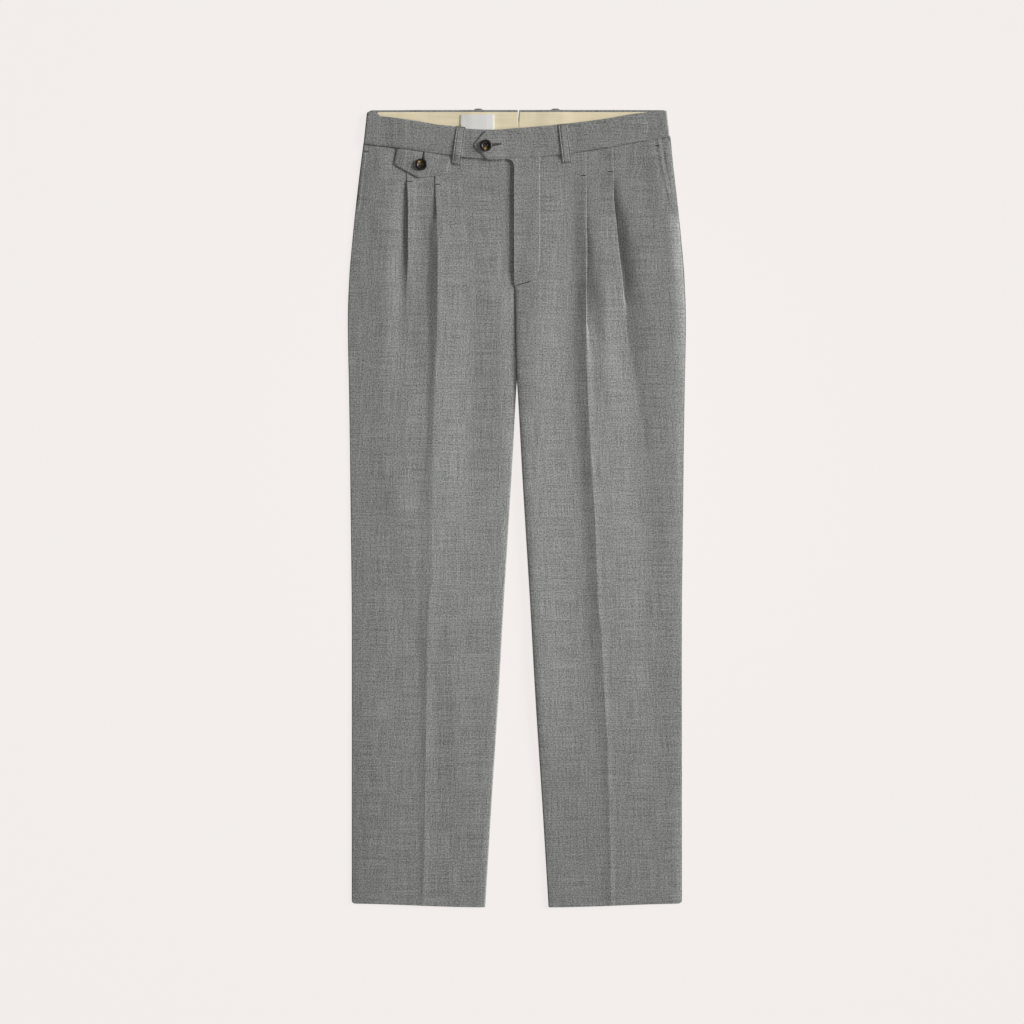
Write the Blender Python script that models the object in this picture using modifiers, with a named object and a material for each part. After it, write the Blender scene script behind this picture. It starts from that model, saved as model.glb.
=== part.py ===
"""Pleated dress trousers, laid flat with the front up.

Two back panels lie on z = 0 and two pleated front panels lie on them. The waistband halves are folded
over at both sides, so that the front half lies on the back half, its lining and its label.

Every size below is in millimetres. A place on the garment is given by x, across it (+X is the wearer's
left), and by its drop, the distance down from the top edge of the back waistband. Heights are above the
surface that the trousers lie on. new_mesh_object turns all of them into metres: +Y runs up the garment to
the waist, +Z is up, and the origin is the middle of the underside.
"""

import math

import bmesh
import bpy
import numpy as np

MM = 0.001
LEFT, RIGHT = 1, -1  # the wearer's sides, as the sign of x
SIDE_NAME = {LEFT: "left", RIGHT: "right"}

# Whole garment
LOOP_RISE = 2.4  # how far the back belt loops stand above the top edge
HEM_INNER = 1075.0  # drop of the hem at the inseam
HEM_OUTER = 1070.3  # and at the side seam
MIDDLE_DROP = (HEM_INNER - LOOP_RISE) / 2  # drop of the origin

# Cloth
GAP = 0.3  # air between neighbouring pieces
SEAM_GAP = 0.45  # air at a curved seam, where two straight-sided pieces meet
WALL = 1.2  # one layer of the suiting
BAND_WALL = 2.0  # interfaced waistband
LINING_WALL = 1.0
LABEL_WALL = 0.8
PUFF = 1.2  # how far a front panel stands up between its edges
EDGE_ROLL = 14.0  # width of the roll down to a seam
WAIST_RISE = 0.6  # how far the front panels rise to meet the waistband
WAIST_RISE_LENGTH = 70.0
PUFF_START = 100.0  # the panels lie flat at the waist seam and stand up fully this far below it

# Side seam: drop, distance from the centre line
SIDE_SEAM = (
    (0.0, 202.4),
    (44.0, 207.1),
    (121.0, 216.1),
    (175.0, 221.7),
    (229.0, 226.1),
    (283.0, 227.9),
    (391.0, 226.0),
    (526.0, 224.2),
    (715.0, 222.4),
    (1080.0, 222.5),
)
# Inseam: drop, distance from the centre line
INSEAM = (
    (363.0, 0.3),
    (391.0, 2.1),
    (499.0, 8.0),
    (607.0, 14.6),
    (661.0, 17.9),
    (796.0, 25.5),
    (931.0, 34.3),
    (1080.0, 43.4),
)
CROTCH = INSEAM[0][0]
# Centre front: drop, reach of the panel's inner edge, measured outwards from the centre line
FLY_FOOT = 241.0  # drop of the foot of the fly
FLY_EDGE = {
    LEFT: ((40.0, -3.9), (228.0, -3.9), (FLY_FOOT, -2.85), (CROTCH, 0.3)),
    RIGHT: ((40.0, -22.0), (222.0, -22.0), (FLY_FOOT, 3.15), (CROTCH, 0.3)),
}
FLY_LIFT = WALL + 2 * GAP  # the left panel lies on the right one here
FLY_WIDTH = 26.0
FLY_SETTLE = 21.0  # below the foot of the fly the left panel comes down over this distance
SIDE_INSET = {LEFT: 1.3, RIGHT: 0.2}  # how far a front panel stops short of its back panel

# Waistband halves: x, drop of the top edge, drop of the seam
BAND = {
    RIGHT: (
        (-206.0, 0.6, 44.8),
        (-190.0, 3.9, 47.5),
        (-184.0, 8.2, 48.2),
        (-161.0, 11.3, 50.5),
        (-130.0, 16.1, 55.1),
        (-107.0, 20.4, 58.4),
        (-84.0, 22.7, 61.3),
        (-67.0, 25.8, 64.0),
        (-53.0, 26.9, 65.0),
        (-20.0, 27.5, 65.4),
        (24.0, 27.5, 65.4),
    ),
    LEFT: (
        (-59.3, 46.9, 50.5),
        (-57.5, 43.0, 53.4),
        (-48.0, 32.6, 61.6),
        (-43.6, 28.6, 65.0),
        (-39.5, 27.8, 67.2),
        (-22.0, 26.9, 66.6),
        (-4.0, 25.4, 65.0),
        (43.0, 21.5, 61.8),
        (69.0, 18.5, 59.0),
        (92.0, 16.2, 54.5),
        (124.0, 11.6, 50.2),
        (157.0, 5.8, 43.2),
        (177.0, 3.1, 40.3),
        (206.0, 0.4, 35.2),
    ),
}
BAND_END = {RIGHT: -5.0, LEFT: -59.3}  # x of the front end; the left one is the tip of the tab
BACK_SEAM = 42.0  # drop of the back waist seam over most of its length
BACK_SEAM_BEND = (130.0, 190.0)  # between these reaches it runs to where the front seam meets the side
FOLD_REACH = 196.0  # reach of a waistband's last section before its fold, at the table's end
FOLD_ROOM = 4.0  # the fold at the side starts this far inside it
CENTRE_BACK = 2.0  # x of the centre back seam at the waist
NOTCH_HALF = 0.9  # half width of the notch at the centre back
NOTCH_DEPTH = 14.0
BAND_SPACING = 14.0  # between a waistband's sections
BAND_ROWS = 3
PLEAT_ZONE = (92.0, 150.0, 14.0)  # the waistband is lifted over the pleats: start, end, slope
PLEAT_ZONE_LIFT = 1.0
TAB_SLOPE = (-3.0, 16.0)  # the left waistband climbs onto the right one between these x

# Pleats face the side seams. Columns: drop, x of the folded edge, depth of the underlay, how far the cloth
# turns at each fold, in degrees, and the length of cloth in the lower fold
PLEATS = {
    LEFT: (
        (
            (40.0, 93.5, 16.0, 180.0, 2.5),
            (92.0, 93.3, 16.0, 180.0, 2.5),
            (141.0, 93.0, 9.0, 168.0, 3.0),
            (200.0, 93.0, 3.5, 150.0, 3.0),
            (256.0, 93.3, 2.0, 118.0, 3.5),
            (320.0, 94.3, 1.0, 85.0, 4.0),
            (391.0, 96.0, 1.2, 55.0, 5.0),
            (485.0, 101.4, 3.0, 30.0, 6.0),
            (600.0, 109.5, 4.0, 19.0, 8.0),
            (728.0, 116.0, 5.0, 16.0, 8.0),
            (1080.0, 127.5, 5.0, 14.0, 8.0),
        ),
        (
            (40.0, 129.3, 14.0, 180.0, 2.5),
            (84.0, 130.3, 14.0, 180.0, 2.5),
            (133.0, 134.2, 4.0, 165.0, 2.8),
            (175.0, 139.2, 2.0, 150.0, 3.0),
            (242.0, 151.3, 1.0, 100.0, 3.0),
            (283.0, 159.4, 0.7, 70.0, 4.0),
            (418.0, 173.0, 1.0, 18.0, 6.0),
            (600.0, 182.0, 1.0, 9.0, 6.0),
            (1080.0, 188.0, 1.0, 6.0, 6.0),
        ),
    ),
    RIGHT: (
        (
            (40.0, 111.5, 16.0, 180.0, 2.5),
            (100.0, 111.0, 16.0, 180.0, 2.5),
            (161.0, 107.0, 9.0, 168.0, 3.0),
            (202.0, 106.5, 3.5, 150.0, 3.0),
            (296.0, 108.0, 1.5, 110.0, 3.5),
            (391.0, 111.0, 1.0, 70.0, 4.0),
            (458.0, 116.0, 1.5, 45.0, 5.0),
            (526.0, 117.3, 3.0, 32.0, 6.0),
            (728.0, 120.0, 4.0, 20.0, 8.0),
            (863.0, 123.0, 4.0, 17.0, 8.0),
            (1080.0, 123.4, 4.0, 15.0, 8.0),
        ),
        (
            (40.0, 148.0, 14.0, 180.0, 2.5),
            (97.0, 148.0, 14.0, 180.0, 2.5),
            (135.0, 147.3, 3.0, 160.0, 2.8),
            (175.0, 147.0, 0.8, 135.0, 3.0),
            (220.0, 147.0, 0.5, 60.0, 3.5),
            (269.0, 147.5, 1.0, 25.0, 5.0),
            (400.0, 149.0, 1.0, 12.0, 6.0),
            (1080.0, 150.0, 1.0, 5.0, 6.0),
        ),
    ),
}
UPPER_FOLD = 2.5  # length of cloth in the upper fold of a pleat
PLEAT_RUN = {LEFT: (16.0, 9.0), RIGHT: (26.0, 9.0)}  # how far the cloth takes to come down behind each pleat
PLEAT_CREST = 2.0  # the cloth stays level this far behind the underlay
PLEAT_TROUGH = 10.0  # behind the outer pleat it is down this far short of the inner one
STITCHED_PLEAT = 4 * UPPER_FOLD / math.pi  # height of a pleat's folded edge where it is stitched down

# Soft folds: side, drop and reach of the upper end, drop and reach of the lower end, width, height
SOFT_FOLDS = (
    (RIGHT, 240.0, 52.0, 520.0, 60.0, 22.0, -0.7),
    (RIGHT, 420.0, 182.0, 1020.0, 186.0, 24.0, 0.8),
    (LEFT, 320.0, 196.0, 1000.0, 204.0, 12.0, 0.8),
    (LEFT, 420.0, 62.0, 900.0, 84.0, 30.0, 0.6),
)
SOFT_FOLD_FADE = 0.15  # share of a fold's length over which it rises, on each side of its end

# Side pockets: drop and reach of the opening's edge, from the waist seam to below its lower tack
OPENING = {
    LEFT: ((36.0, 191.3), (81.0, 198.7), (107.0, 204.6), (127.0, 209.3), (139.0, 216.4)),
    RIGHT: ((36.0, 203.8), (81.0, 209.2), (107.0, 212.4), (127.0, 214.6), (139.0, 217.9)),
}
FACING_WALL = 1.0
FACING_WIDTH = 24.0
FACING_END = 134.0
FACING_SLOPE = 9.0  # the front panel comes down past the facing over this distance
FACING_NOTCH = 4.0  # the facing's upper corner is cut back to clear the waistband's fold
FACING_ROWS = 8

# Belt loops: the four corners, as x and drop
LOOP_FRONT = {
    LEFT: ((55.8, 19.7), (67.1, 18.9), (73.7, 70.5), (62.2, 71.3)),
    RIGHT: ((-80.9, 22.3), (-69.5, 23.5), (-76.3, 74.4), (-87.6, 72.6)),
}
LOOP_BACK_X = 52.0
LOOP_BACK_WIDTH = 12.0
LOOP_BACK_END = 52.0
LOOP_WALL = 1.2
LOOP_BULGE = 1.6  # how far a front loop stands off the waistband in its middle
LOOP_MARGIN = 1.0  # what lies on a back loop stays level this far past its edges
LOOP_COVER_SLOPE = 12.0  # and then comes down over this distance
LOOP_STEP = 8.0  # a front loop comes down from the waistband to the panel over this distance

# Watch-pocket flap: its upper corners lie in the waist seam; then side corners and point, as x and drop
FLAP_TOP = (-160.8, -89.2)
FLAP_EDGE = ((-165.4, 71.6), (-162.6, 75.2), (-132.6, 91.1), (-97.0, 86.2), (-93.7, 83.0))
FLAP_LEVEL = (  # x, share of the pleats' height that the flap keeps
    (-166.0, 0.45),
    (-150.0, 1.0),
    (-92.0, 1.0),
    (-88.0, 0.95),
)

# Label on the lining: x of its sides, drop of its ends
LABEL_SIDES = (-76.0, -31.0)
LABEL_ENDS = (6.3, 33.0)
LABEL_MARGIN = 4.0  # the waistband stays level this far past the label
LABEL_SLOPE = 14.0  # and then comes down over this distance
LINING_TOP = 3.0
LINING_INSET = 0.6  # the lining stops this far from the notch
LINING_END = 34.0
LINING_REACH = 188.0

# Buttons: middle, as x and drop
BUTTON_WAIST = (-41.7, 48.5)
BUTTON_FLAP = (-128.7, 73.6)
BUTTON_RADIUS = 8.0
# Profile of a button, turned about its axis: radius as a share of the button's, height
BUTTON_PROFILE = (
    (0.0, 1.9),
    (0.5, 1.9),
    (0.72, 2.9),
    (0.9, 2.9),
    (1.0, 2.0),
    (0.94, 0.8),
    (0.6, 0.0),
    (0.0, 0.0),
)
BUTTON_SIDES = 28
BUTTON_HOLE = 0.8  # radius
BUTTON_HOLE_PLACE = 1.8  # each hole's distance from the middle, along x and y
HOLE_SIDES = 8

# How finely the front panels are divided
ROW_DROPS = (
    *(52, 64, 76, 92, 110, 132, 158, 188, 222, 241, 262),
    *(290, 324, 363, 410, 470, 540, 620, 710, 810, 920, 1075),
)
SEAM_CURVE = 150.0  # the rows straighten over this distance from the waist seam and from the hem
FOLD_STEPS = 4
COLUMNS_CENTRE = 9
COLUMNS_BETWEEN = 5
COLUMNS_SIDE = 6
BACK_ROW_DROPS = (42, 53, 59, 65, 84, 130, 200, 283, 363, 440, 560, 700, 860, 1075)
# Reach of the columns of whatever lies on a back belt loop, which follow the loop's edges
BACK_COLUMNS = (0.0, 14.0, 33.0, 39.0, 45.0, 59.0, 65.0, 71.0, 105.0, 130.0, 150.0, 170.0, 190.0)
LOOP_COLUMNS = BACK_COLUMNS[2:8]

# Materials: base colour, roughness
SUITING = ((0.212, 0.214, 0.207), 0.9)
LINING = ((0.672, 0.584, 0.407), 0.75)
LABEL = ((0.610, 0.604, 0.584), 0.7)
BUTTON = ((0.018, 0.011, 0.008), 0.25)


def smooth(value):
    """0 below 0, 1 above 1, and an even S between."""
    value = np.clip(value, 0.0, 1.0)
    return value * value * (3.0 - 2.0 * value)


def shelf(value, start, end, slope):
    """1 between start and end, coming down to 0 over a slope outside each."""
    return smooth((value - start + slope) / slope) * smooth((end + slope - value) / slope)


def along(rows, place):
    """Reads a table's later columns at a place in its first one, on a smooth curve that never overshoots."""
    table = np.array(rows, dtype=float)
    known, values = table[:, 0], table[:, 1:]
    step = np.diff(known)[:, None]
    rise = np.diff(values, axis=0) / step
    product = rise[:-1] * rise[1:]
    slope = np.vstack([rise[:1], np.zeros_like(product), rise[-1:]])
    turning = product > 0.0
    slope[1:-1][turning] = 2.0 * product[turning] / (rise[:-1] + rise[1:])[turning]
    place = np.clip(np.asarray(place, dtype=float), known[0], known[-1])
    span = np.clip(np.searchsorted(known, place, side="right") - 1, 0, len(known) - 2)
    length = step[span]
    part = (place - known[span])[..., None] / length
    rest = 1.0 - part
    curve = (
        (1.0 + 2.0 * part) * rest**2 * values[span]
        + part * rest**2 * length * slope[span]
        + part**2 * (3.0 - 2.0 * part) * values[span + 1]
        - part**2 * rest * length * slope[span + 1]
    )
    return np.moveaxis(curve, -1, 0)


def side_reach(drop):
    """Distance of the side seam from the centre line."""
    return along(SIDE_SEAM, drop)[0]


def inner_reach(side, drop):
    """Distance of a front panel's inner edge from the centre line: fly edge, centre seam, then inseam."""
    fly = along(FLY_EDGE[side], drop)[0]
    inseam = along(INSEAM, drop)[0]
    return np.where(np.asarray(drop) < CROTCH, fly, inseam)


def waist_top(side, x):
    """Drop of a waistband half's top edge."""
    table = np.array(BAND[side])
    return np.interp(x, table[:, 0], table[:, 1])


def waist_seam(side, x):
    """Drop of the seam between a waistband half and its front panel."""
    table = np.array(BAND[side])
    return np.interp(x, table[:, 0], table[:, 2])


def band_drop(side, x, part):
    """Drop of a point of a waistband half's front, a part of the way from its top edge to its seam."""
    top = waist_top(side, x)
    return float(top + (waist_seam(side, x) - top) * part)


def back_seam(side, reach):
    """Drop of the seam between a waistband half and its back panel."""
    at_side = waist_seam(side, side * (float(side_reach(BACK_SEAM)) - FOLD_ROOM))
    start, end = BACK_SEAM_BEND
    return BACK_SEAM + (at_side - BACK_SEAM) * smooth((np.asarray(reach) - start) / (end - start))


def loop_cover(x, drop):
    """Height that the cloth gains where it lies on a back belt loop."""
    half = LOOP_BACK_WIDTH / 2 + LOOP_MARGIN
    across = shelf(np.abs(x), LOOP_BACK_X - half, LOOP_BACK_X + half, LOOP_COVER_SLOPE)
    down = 1.0 - smooth((drop - LOOP_BACK_END - LOOP_MARGIN) / LOOP_COVER_SLOPE)
    return (LOOP_WALL + GAP) * across * down


def soft_folds(side, reach, drop):
    """Height of the broad folds that run down a leg."""
    height = np.zeros(np.broadcast(reach, drop).shape)
    for of_side, top, top_reach, end, end_reach, width, rise in SOFT_FOLDS:
        if of_side == side:
            part = (drop - top) / (end - top)
            middle = top_reach + (end_reach - top_reach) * np.clip(part, 0.0, 1.0)
            ends = shelf(part, SOFT_FOLD_FADE, 1.0 - SOFT_FOLD_FADE, 2 * SOFT_FOLD_FADE)
            height = height + rise * ends * np.exp(-(((reach - middle) / width) ** 2))
    return height


def resting_height(side, reach, drop):
    """Height of a front panel's middle surface, without its pleats."""
    x = side * reach
    seam = waist_seam(side, x)
    outer = side_reach(drop)
    inner = np.where(drop < CROTCH, -2.0 * EDGE_ROLL, along(INSEAM, drop)[0])
    body = smooth((reach - inner) / EDGE_ROLL) * smooth((outer - reach) / EDGE_ROLL)
    height = WALL + GAP + WALL / 2
    height = height + (PUFF + soft_folds(side, reach, drop)) * body * smooth((drop - seam) / PUFF_START)
    height = height + WAIST_RISE * (1.0 - smooth((drop - seam) / WAIST_RISE_LENGTH)) * body
    pocket = smooth((reach - outer + FACING_WIDTH + FACING_SLOPE) / FACING_SLOPE)
    pocket = pocket * (1.0 - smooth((drop - FACING_END) / FACING_SLOPE))
    height = height + (FACING_WALL + SEAM_GAP) * pocket
    if side == LEFT:
        over_fly = 1.0 - smooth((x - FLY_WIDTH) / FLY_WIDTH)
        height = height + FLY_LIFT * over_fly * (1.0 - smooth((drop - FLY_FOOT) / FLY_SETTLE))
    return height + loop_cover(x, drop)


def pleat_shape(side, which, drop):
    """A pleat's edge, underlay, turn in radians and lower fold at one drop, and its height."""
    edge, underlay, turn, lower = along(PLEATS[side][which], drop)
    turn = np.radians(turn)
    bends = (UPPER_FOLD + lower) / turn * (1.0 - np.cos(turn))
    return edge, underlay, turn, lower, bends + underlay * np.sin(turn)


def pleat_hidden(underlay, turn, lower):
    """How far a pleat's cloth runs back under its folded edge."""
    back = (UPPER_FOLD + lower) / turn * np.sin(turn) + underlay * np.cos(turn)
    back = back - UPPER_FOLD / turn * np.sin(np.minimum(turn, math.pi / 2))
    return np.maximum(0.0, -back)


def behind_pleat(side, which, reach, drop):
    """Height of the cloth behind a pleat: all of it over the underlay, then coming down further in."""
    edge, underlay, turn, lower, height = pleat_shape(side, which, drop)
    hidden = pleat_hidden(underlay, turn, lower)
    past = np.maximum(0.0, edge - reach - hidden - PLEAT_CREST)
    softness = 1.0 + hidden / 2
    at_waist = 1.0 - smooth((drop - waist_seam(side, side * reach)) / PUFF_START)
    run = PLEAT_RUN[side][which] * (1.0 - 0.5 * at_waist)
    share = np.exp((softness - np.hypot(past, softness)) / run)
    if which == 1:
        inner_edge = pleat_shape(side, 0, drop)[0]
        share = share * smooth((reach - inner_edge - PLEAT_CREST) / PLEAT_TROUGH)
    return height * share


def front_top(side, reach, drop):
    """Height of the upper face of a front panel, pleats included."""
    first = pleat_shape(side, 0, drop)[0]
    second = pleat_shape(side, 1, drop)[0]
    pleats = np.where(
        reach < first,
        behind_pleat(side, 0, reach, drop),
        np.where(reach < second, behind_pleat(side, 1, reach, drop), 0.0),
    )
    return resting_height(side, reach, drop) + pleats + WALL / 2


def pleat_path(side, which, drop):
    """Section of a pleat at one drop, from the start of its upper fold: reach and height of each point.

    The cloth turns down through the upper fold, runs back as the underlay and turns level again.
    """
    edge, underlay, turn, lower, height = pleat_shape(side, which, drop)
    share = np.linspace(0.0, 1.0, FOLD_STEPS + 1)
    upper_radius, lower_radius = UPPER_FOLD / turn, lower / turn
    angle = turn * share
    upper = np.column_stack([upper_radius * np.sin(angle), -upper_radius * (1.0 - np.cos(angle))])
    run = underlay * np.array([math.cos(turn), -math.sin(turn)])
    left = turn - angle
    settling = lower_radius * np.column_stack([math.sin(turn) - np.sin(left), math.cos(turn) - np.cos(left)])
    path = np.vstack([upper, upper[-1] + run + settling])
    start = edge - upper_radius * math.sin(min(turn, math.pi / 2))
    return path + np.array([start, height])


def outer_reach(side, drop):
    """Distance of a front panel's outer edge from the centre line: the pocket opening, then the side seam."""
    seam = float(side_reach(drop)) - SIDE_INSET[side]
    opening = float(along(OPENING[side], drop)[0])
    return min(opening, seam) if drop < OPENING[side][-1][0] else seam


def front_section(side, drop):
    """Section of a front panel at one drop, from its inner edge to its side seam: reach and height."""
    first, second = pleat_path(side, 0, drop), pleat_path(side, 1, drop)
    centre = np.linspace(float(inner_reach(side, drop)), first[0, 0], COLUMNS_CENTRE + 1)[:-1]
    between = np.linspace(first[-1, 0], second[0, 0], COLUMNS_BETWEEN + 1)[1:-1]
    side_part = np.linspace(second[-1, 0], outer_reach(side, drop), COLUMNS_SIDE + 1)[1:]
    flat = np.column_stack([centre, behind_pleat(side, 0, centre, drop)])
    middle = np.column_stack([between, behind_pleat(side, 1, between, drop)])
    outside = np.column_stack([side_part, np.zeros_like(side_part)])
    return np.vstack([flat, first, middle, second, outside])


def true_drop(side, reach, row):
    """Drop of a point of a row: rows follow the waist seam at the top and the hem at the bottom."""
    inner, outer = INSEAM[-1][1], SIDE_SEAM[-1][1]
    from_waist = (row - ROW_DROPS[0]) / SEAM_CURVE
    from_hem = (HEM_INNER - row) / SEAM_CURVE
    seam = waist_seam(side, side * reach) + SEAM_GAP - ROW_DROPS[0]
    hem = (HEM_OUTER - HEM_INNER) * smooth((reach - inner) / (outer - inner))
    return row + seam * (1.0 - smooth(from_waist)) + hem * (1.0 - smooth(from_hem))


def new_mesh_object(name, points, faces, material, collection):
    """A named object from points in garment terms: x, drop and height, in millimetres."""
    points = np.asarray(points, dtype=float)
    places = np.column_stack([points[:, 0], MIDDLE_DROP - points[:, 1], points[:, 2]]) * MM
    mesh = bpy.data.meshes.new(name)
    mesh.from_pydata(places.tolist(), [], faces)
    mesh.update()
    mesh.materials.append(material)
    piece = bpy.data.objects.new(name, mesh)
    collection.objects.link(piece)
    return piece


def face_up(mesh):
    """Turns every face of an open sheet so that its upper side is its front."""
    work = bmesh.new()
    work.from_mesh(mesh)
    bmesh.ops.recalc_face_normals(work, faces=work.faces)
    if sum(face.normal.z * face.calc_area() for face in work.faces) < 0.0:
        bmesh.ops.reverse_faces(work, faces=work.faces)
    work.to_mesh(mesh)
    work.free()


def cloth(name, grid, wall, material, collection):
    """A cloth wall: a grid of points on its middle surface, given its thickness by Solidify."""
    rows, columns = grid.shape[:2]
    index = np.arange(rows * columns).reshape(rows, columns)
    corners = np.stack([index[:-1, :-1], index[:-1, 1:], index[1:, 1:], index[1:, :-1]], axis=-1)
    piece = new_mesh_object(name, grid.reshape(-1, 3), corners.reshape(-1, 4).tolist(), material, collection)
    face_up(piece.data)
    thickness = piece.modifiers.new("Wall", "SOLIDIFY")
    thickness.thickness = wall * MM
    thickness.offset = 0.0
    thickness.use_even_offset = True
    thickness.use_rim = True
    return piece


def front_panel(side, material, collection):
    """A front leg panel with its two pleats, from the waist seam to the hem."""
    rows = []
    for row in ROW_DROPS:
        section = front_section(side, float(row))
        drop = true_drop(side, section[:, 0], float(row))
        height = section[:, 1] + resting_height(side, section[:, 0], drop)
        rows.append(np.column_stack([side * section[:, 0], drop, height]))
    return cloth("front_panel_" + SIDE_NAME[side], np.array(rows), WALL, material, collection)


def back_panel(side, material, collection):
    """A back leg panel, flat on the surface but for where its top lies on a belt loop."""
    waist_reach = float(side_reach(BACK_SEAM))
    share = np.array([*BACK_COLUMNS, waist_reach]) / waist_reach
    rows = []
    for row in BACK_ROW_DROPS:
        outer = float(side_reach(row))
        if row < CROTCH:
            reach = outer * share
            reach[0] = CENTRE_BACK * side * (CROTCH - row) / (CROTCH - BACK_SEAM) + GAP / 2
            drop = np.full_like(reach, row)
        else:
            inner = float(along(INSEAM, row)[0])
            reach = inner + (outer - inner) * share
            drop = true_drop(side, reach, float(row))
        if row == BACK_ROW_DROPS[0]:
            drop = back_seam(side, reach) + SEAM_GAP
        height = WALL / 2 + loop_cover(side * reach, drop)
        rows.append(np.column_stack([side * reach, drop, height]))
    return cloth("back_panel_" + SIDE_NAME[side], np.array(rows), WALL, material, collection)


def front_band_height(side, x):
    """Height of the middle of the waistband where it lies on the front."""
    height = BAND_WALL + GAP + LINING_WALL + GAP + BAND_WALL / 2
    over_label = shelf(x, LABEL_SIDES[0] - LABEL_MARGIN, LABEL_SIDES[1] + LABEL_MARGIN, LABEL_SLOPE)
    height = height + (LABEL_WALL + GAP) * over_label
    start, end, slope = PLEAT_ZONE
    height = height + PLEAT_ZONE_LIFT * shelf(np.abs(x), start, end, slope)
    if side == LEFT:
        start, end = TAB_SLOPE
        height = height + (BAND_WALL + SEAM_GAP) * (1.0 - smooth((x - start) / (end - start)))
    return height


def band_stations(side):
    """Places along the front of a waistband half, from its front end to its side: the table's, those over a
    back belt loop, and some between."""
    start, end = BAND_END[side] * side, FOLD_REACH
    places = [row[0] * side for row in BAND[side]]
    places += [reach * sign for reach in LOOP_COLUMNS for sign in (LEFT, RIGHT)]
    places = sorted({place for place in places if start < place < end} | {start, end})
    filled = [places[0]]
    for place in places[1:]:
        pieces = max(1, round((place - filled[-1]) / BAND_SPACING))
        filled.extend(np.linspace(filled[-1], place, pieces + 1)[1:])
    return filled


def waistband(side, material, collection):
    """A waistband half: along the front, round the side, and along the back to the notch."""
    front_height = float(front_band_height(side, side * FOLD_REACH))
    back_height = BAND_WALL / 2
    radius = (front_height - back_height) / 2
    bend_start = BACK_SEAM_BEND[0]

    def spread(reach, drop):
        """Follows the slope of the side: the fold lies further out lower down."""
        shift = float(side_reach(drop)) - radius - BAND_WALL / 2 - FOLD_REACH
        return reach + shift * float(smooth((reach - bend_start) / (FOLD_REACH - bend_start)))

    rows = []
    for part in np.linspace(0.0, 1.0, BAND_ROWS + 1):
        row = []
        for reach in band_stations(side):
            x = side * spread(reach, band_drop(side, side * reach, part))
            row.append((x, band_drop(side, x, part), float(front_band_height(side, side * reach))))
        fold_reach, fold_drop = row[-1][0] * side, row[-1][1]
        for angle in np.linspace(0.0, math.pi, 6)[1:-1]:
            reach = fold_reach + radius * math.sin(angle)
            row.append((side * reach, fold_drop, back_height + radius * (1.0 + math.cos(angle))))
        back = [FOLD_REACH, *reversed(BACK_COLUMNS)]
        for reach in back:
            across = spread(reach, float(back_seam(side, reach)) * part)
            drop = float(back_seam(side, across)) * part
            if reach == 0.0:
                across = CENTRE_BACK * side + NOTCH_HALF * max(0.0, 1.0 - drop / NOTCH_DEPTH) + GAP / 2
            row.append((side * across, drop, back_height))
        rows.append(row)
    grid = np.array(rows)
    grid[..., 2] += loop_cover(grid[..., 0], grid[..., 1])
    return cloth("waistband_" + SIDE_NAME[side], grid, BAND_WALL, material, collection)


def lining(side, material, collection):
    """The waistband's lining on the inside of the back half."""
    rows = []
    for drop in np.linspace(LINING_TOP, LINING_END, 5):
        notch = NOTCH_HALF * max(0.0, 1.0 - drop / NOTCH_DEPTH) + GAP / 2
        reach = np.array([CENTRE_BACK * side + notch + LINING_INSET, *BACK_COLUMNS[1:-1], LINING_REACH])
        height = BAND_WALL + GAP + LINING_WALL / 2 + loop_cover(side * reach, np.full_like(reach, drop))
        rows.append(np.column_stack([side * reach, np.full_like(reach, drop), height]))
    return cloth("waistband_lining_" + SIDE_NAME[side], np.array(rows), LINING_WALL, material, collection)


def label(material, collection):
    """The bare label on the right half of the lining."""
    x = np.array(sorted({*LABEL_SIDES, *(-reach for reach in LOOP_COLUMNS)}))
    rows = []
    for drop in np.linspace(*LABEL_ENDS, 4):
        height = BAND_WALL + GAP + LINING_WALL + GAP + LABEL_WALL / 2 + loop_cover(x, np.full_like(x, drop))
        rows.append(np.column_stack([x, np.full_like(x, drop), height]))
    return cloth("label", np.array(rows), LABEL_WALL, material, collection)


def pocket_facing(side, material, collection):
    """The strip of cloth behind a side pocket's slanted opening."""
    rows = []
    for part in np.linspace(0.0, 1.0, FACING_ROWS + 1):
        down = BACK_SEAM + (FACING_END - BACK_SEAM) * part
        outer = float(side_reach(down)) - SIDE_INSET[side] - (FACING_NOTCH if part == 0.0 else 0.0)
        reach = np.linspace(outer - FACING_WIDTH, outer, 4)
        top = back_seam(side, reach) + 2 * SEAM_GAP
        height = np.full_like(reach, WALL + GAP + FACING_WALL / 2)
        rows.append(np.column_stack([side * reach, top + (FACING_END - top) * part, height]))
    return cloth("pocket_facing_" + SIDE_NAME[side], np.array(rows), FACING_WALL, material, collection)


def quad_grid(corners, across, down):
    """Points spread evenly over a four-cornered patch: top left, top right, bottom right, bottom left."""
    top_left, top_right, bottom_right, bottom_left = (np.array(corner) for corner in corners)
    u = np.linspace(0.0, 1.0, across + 1)[None, :, None]
    v = np.linspace(0.0, 1.0, down + 1)[:, None, None]
    upper = top_left + (top_right - top_left) * u
    lower = bottom_left + (bottom_right - bottom_left) * u
    return upper + (lower - upper) * v


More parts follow.
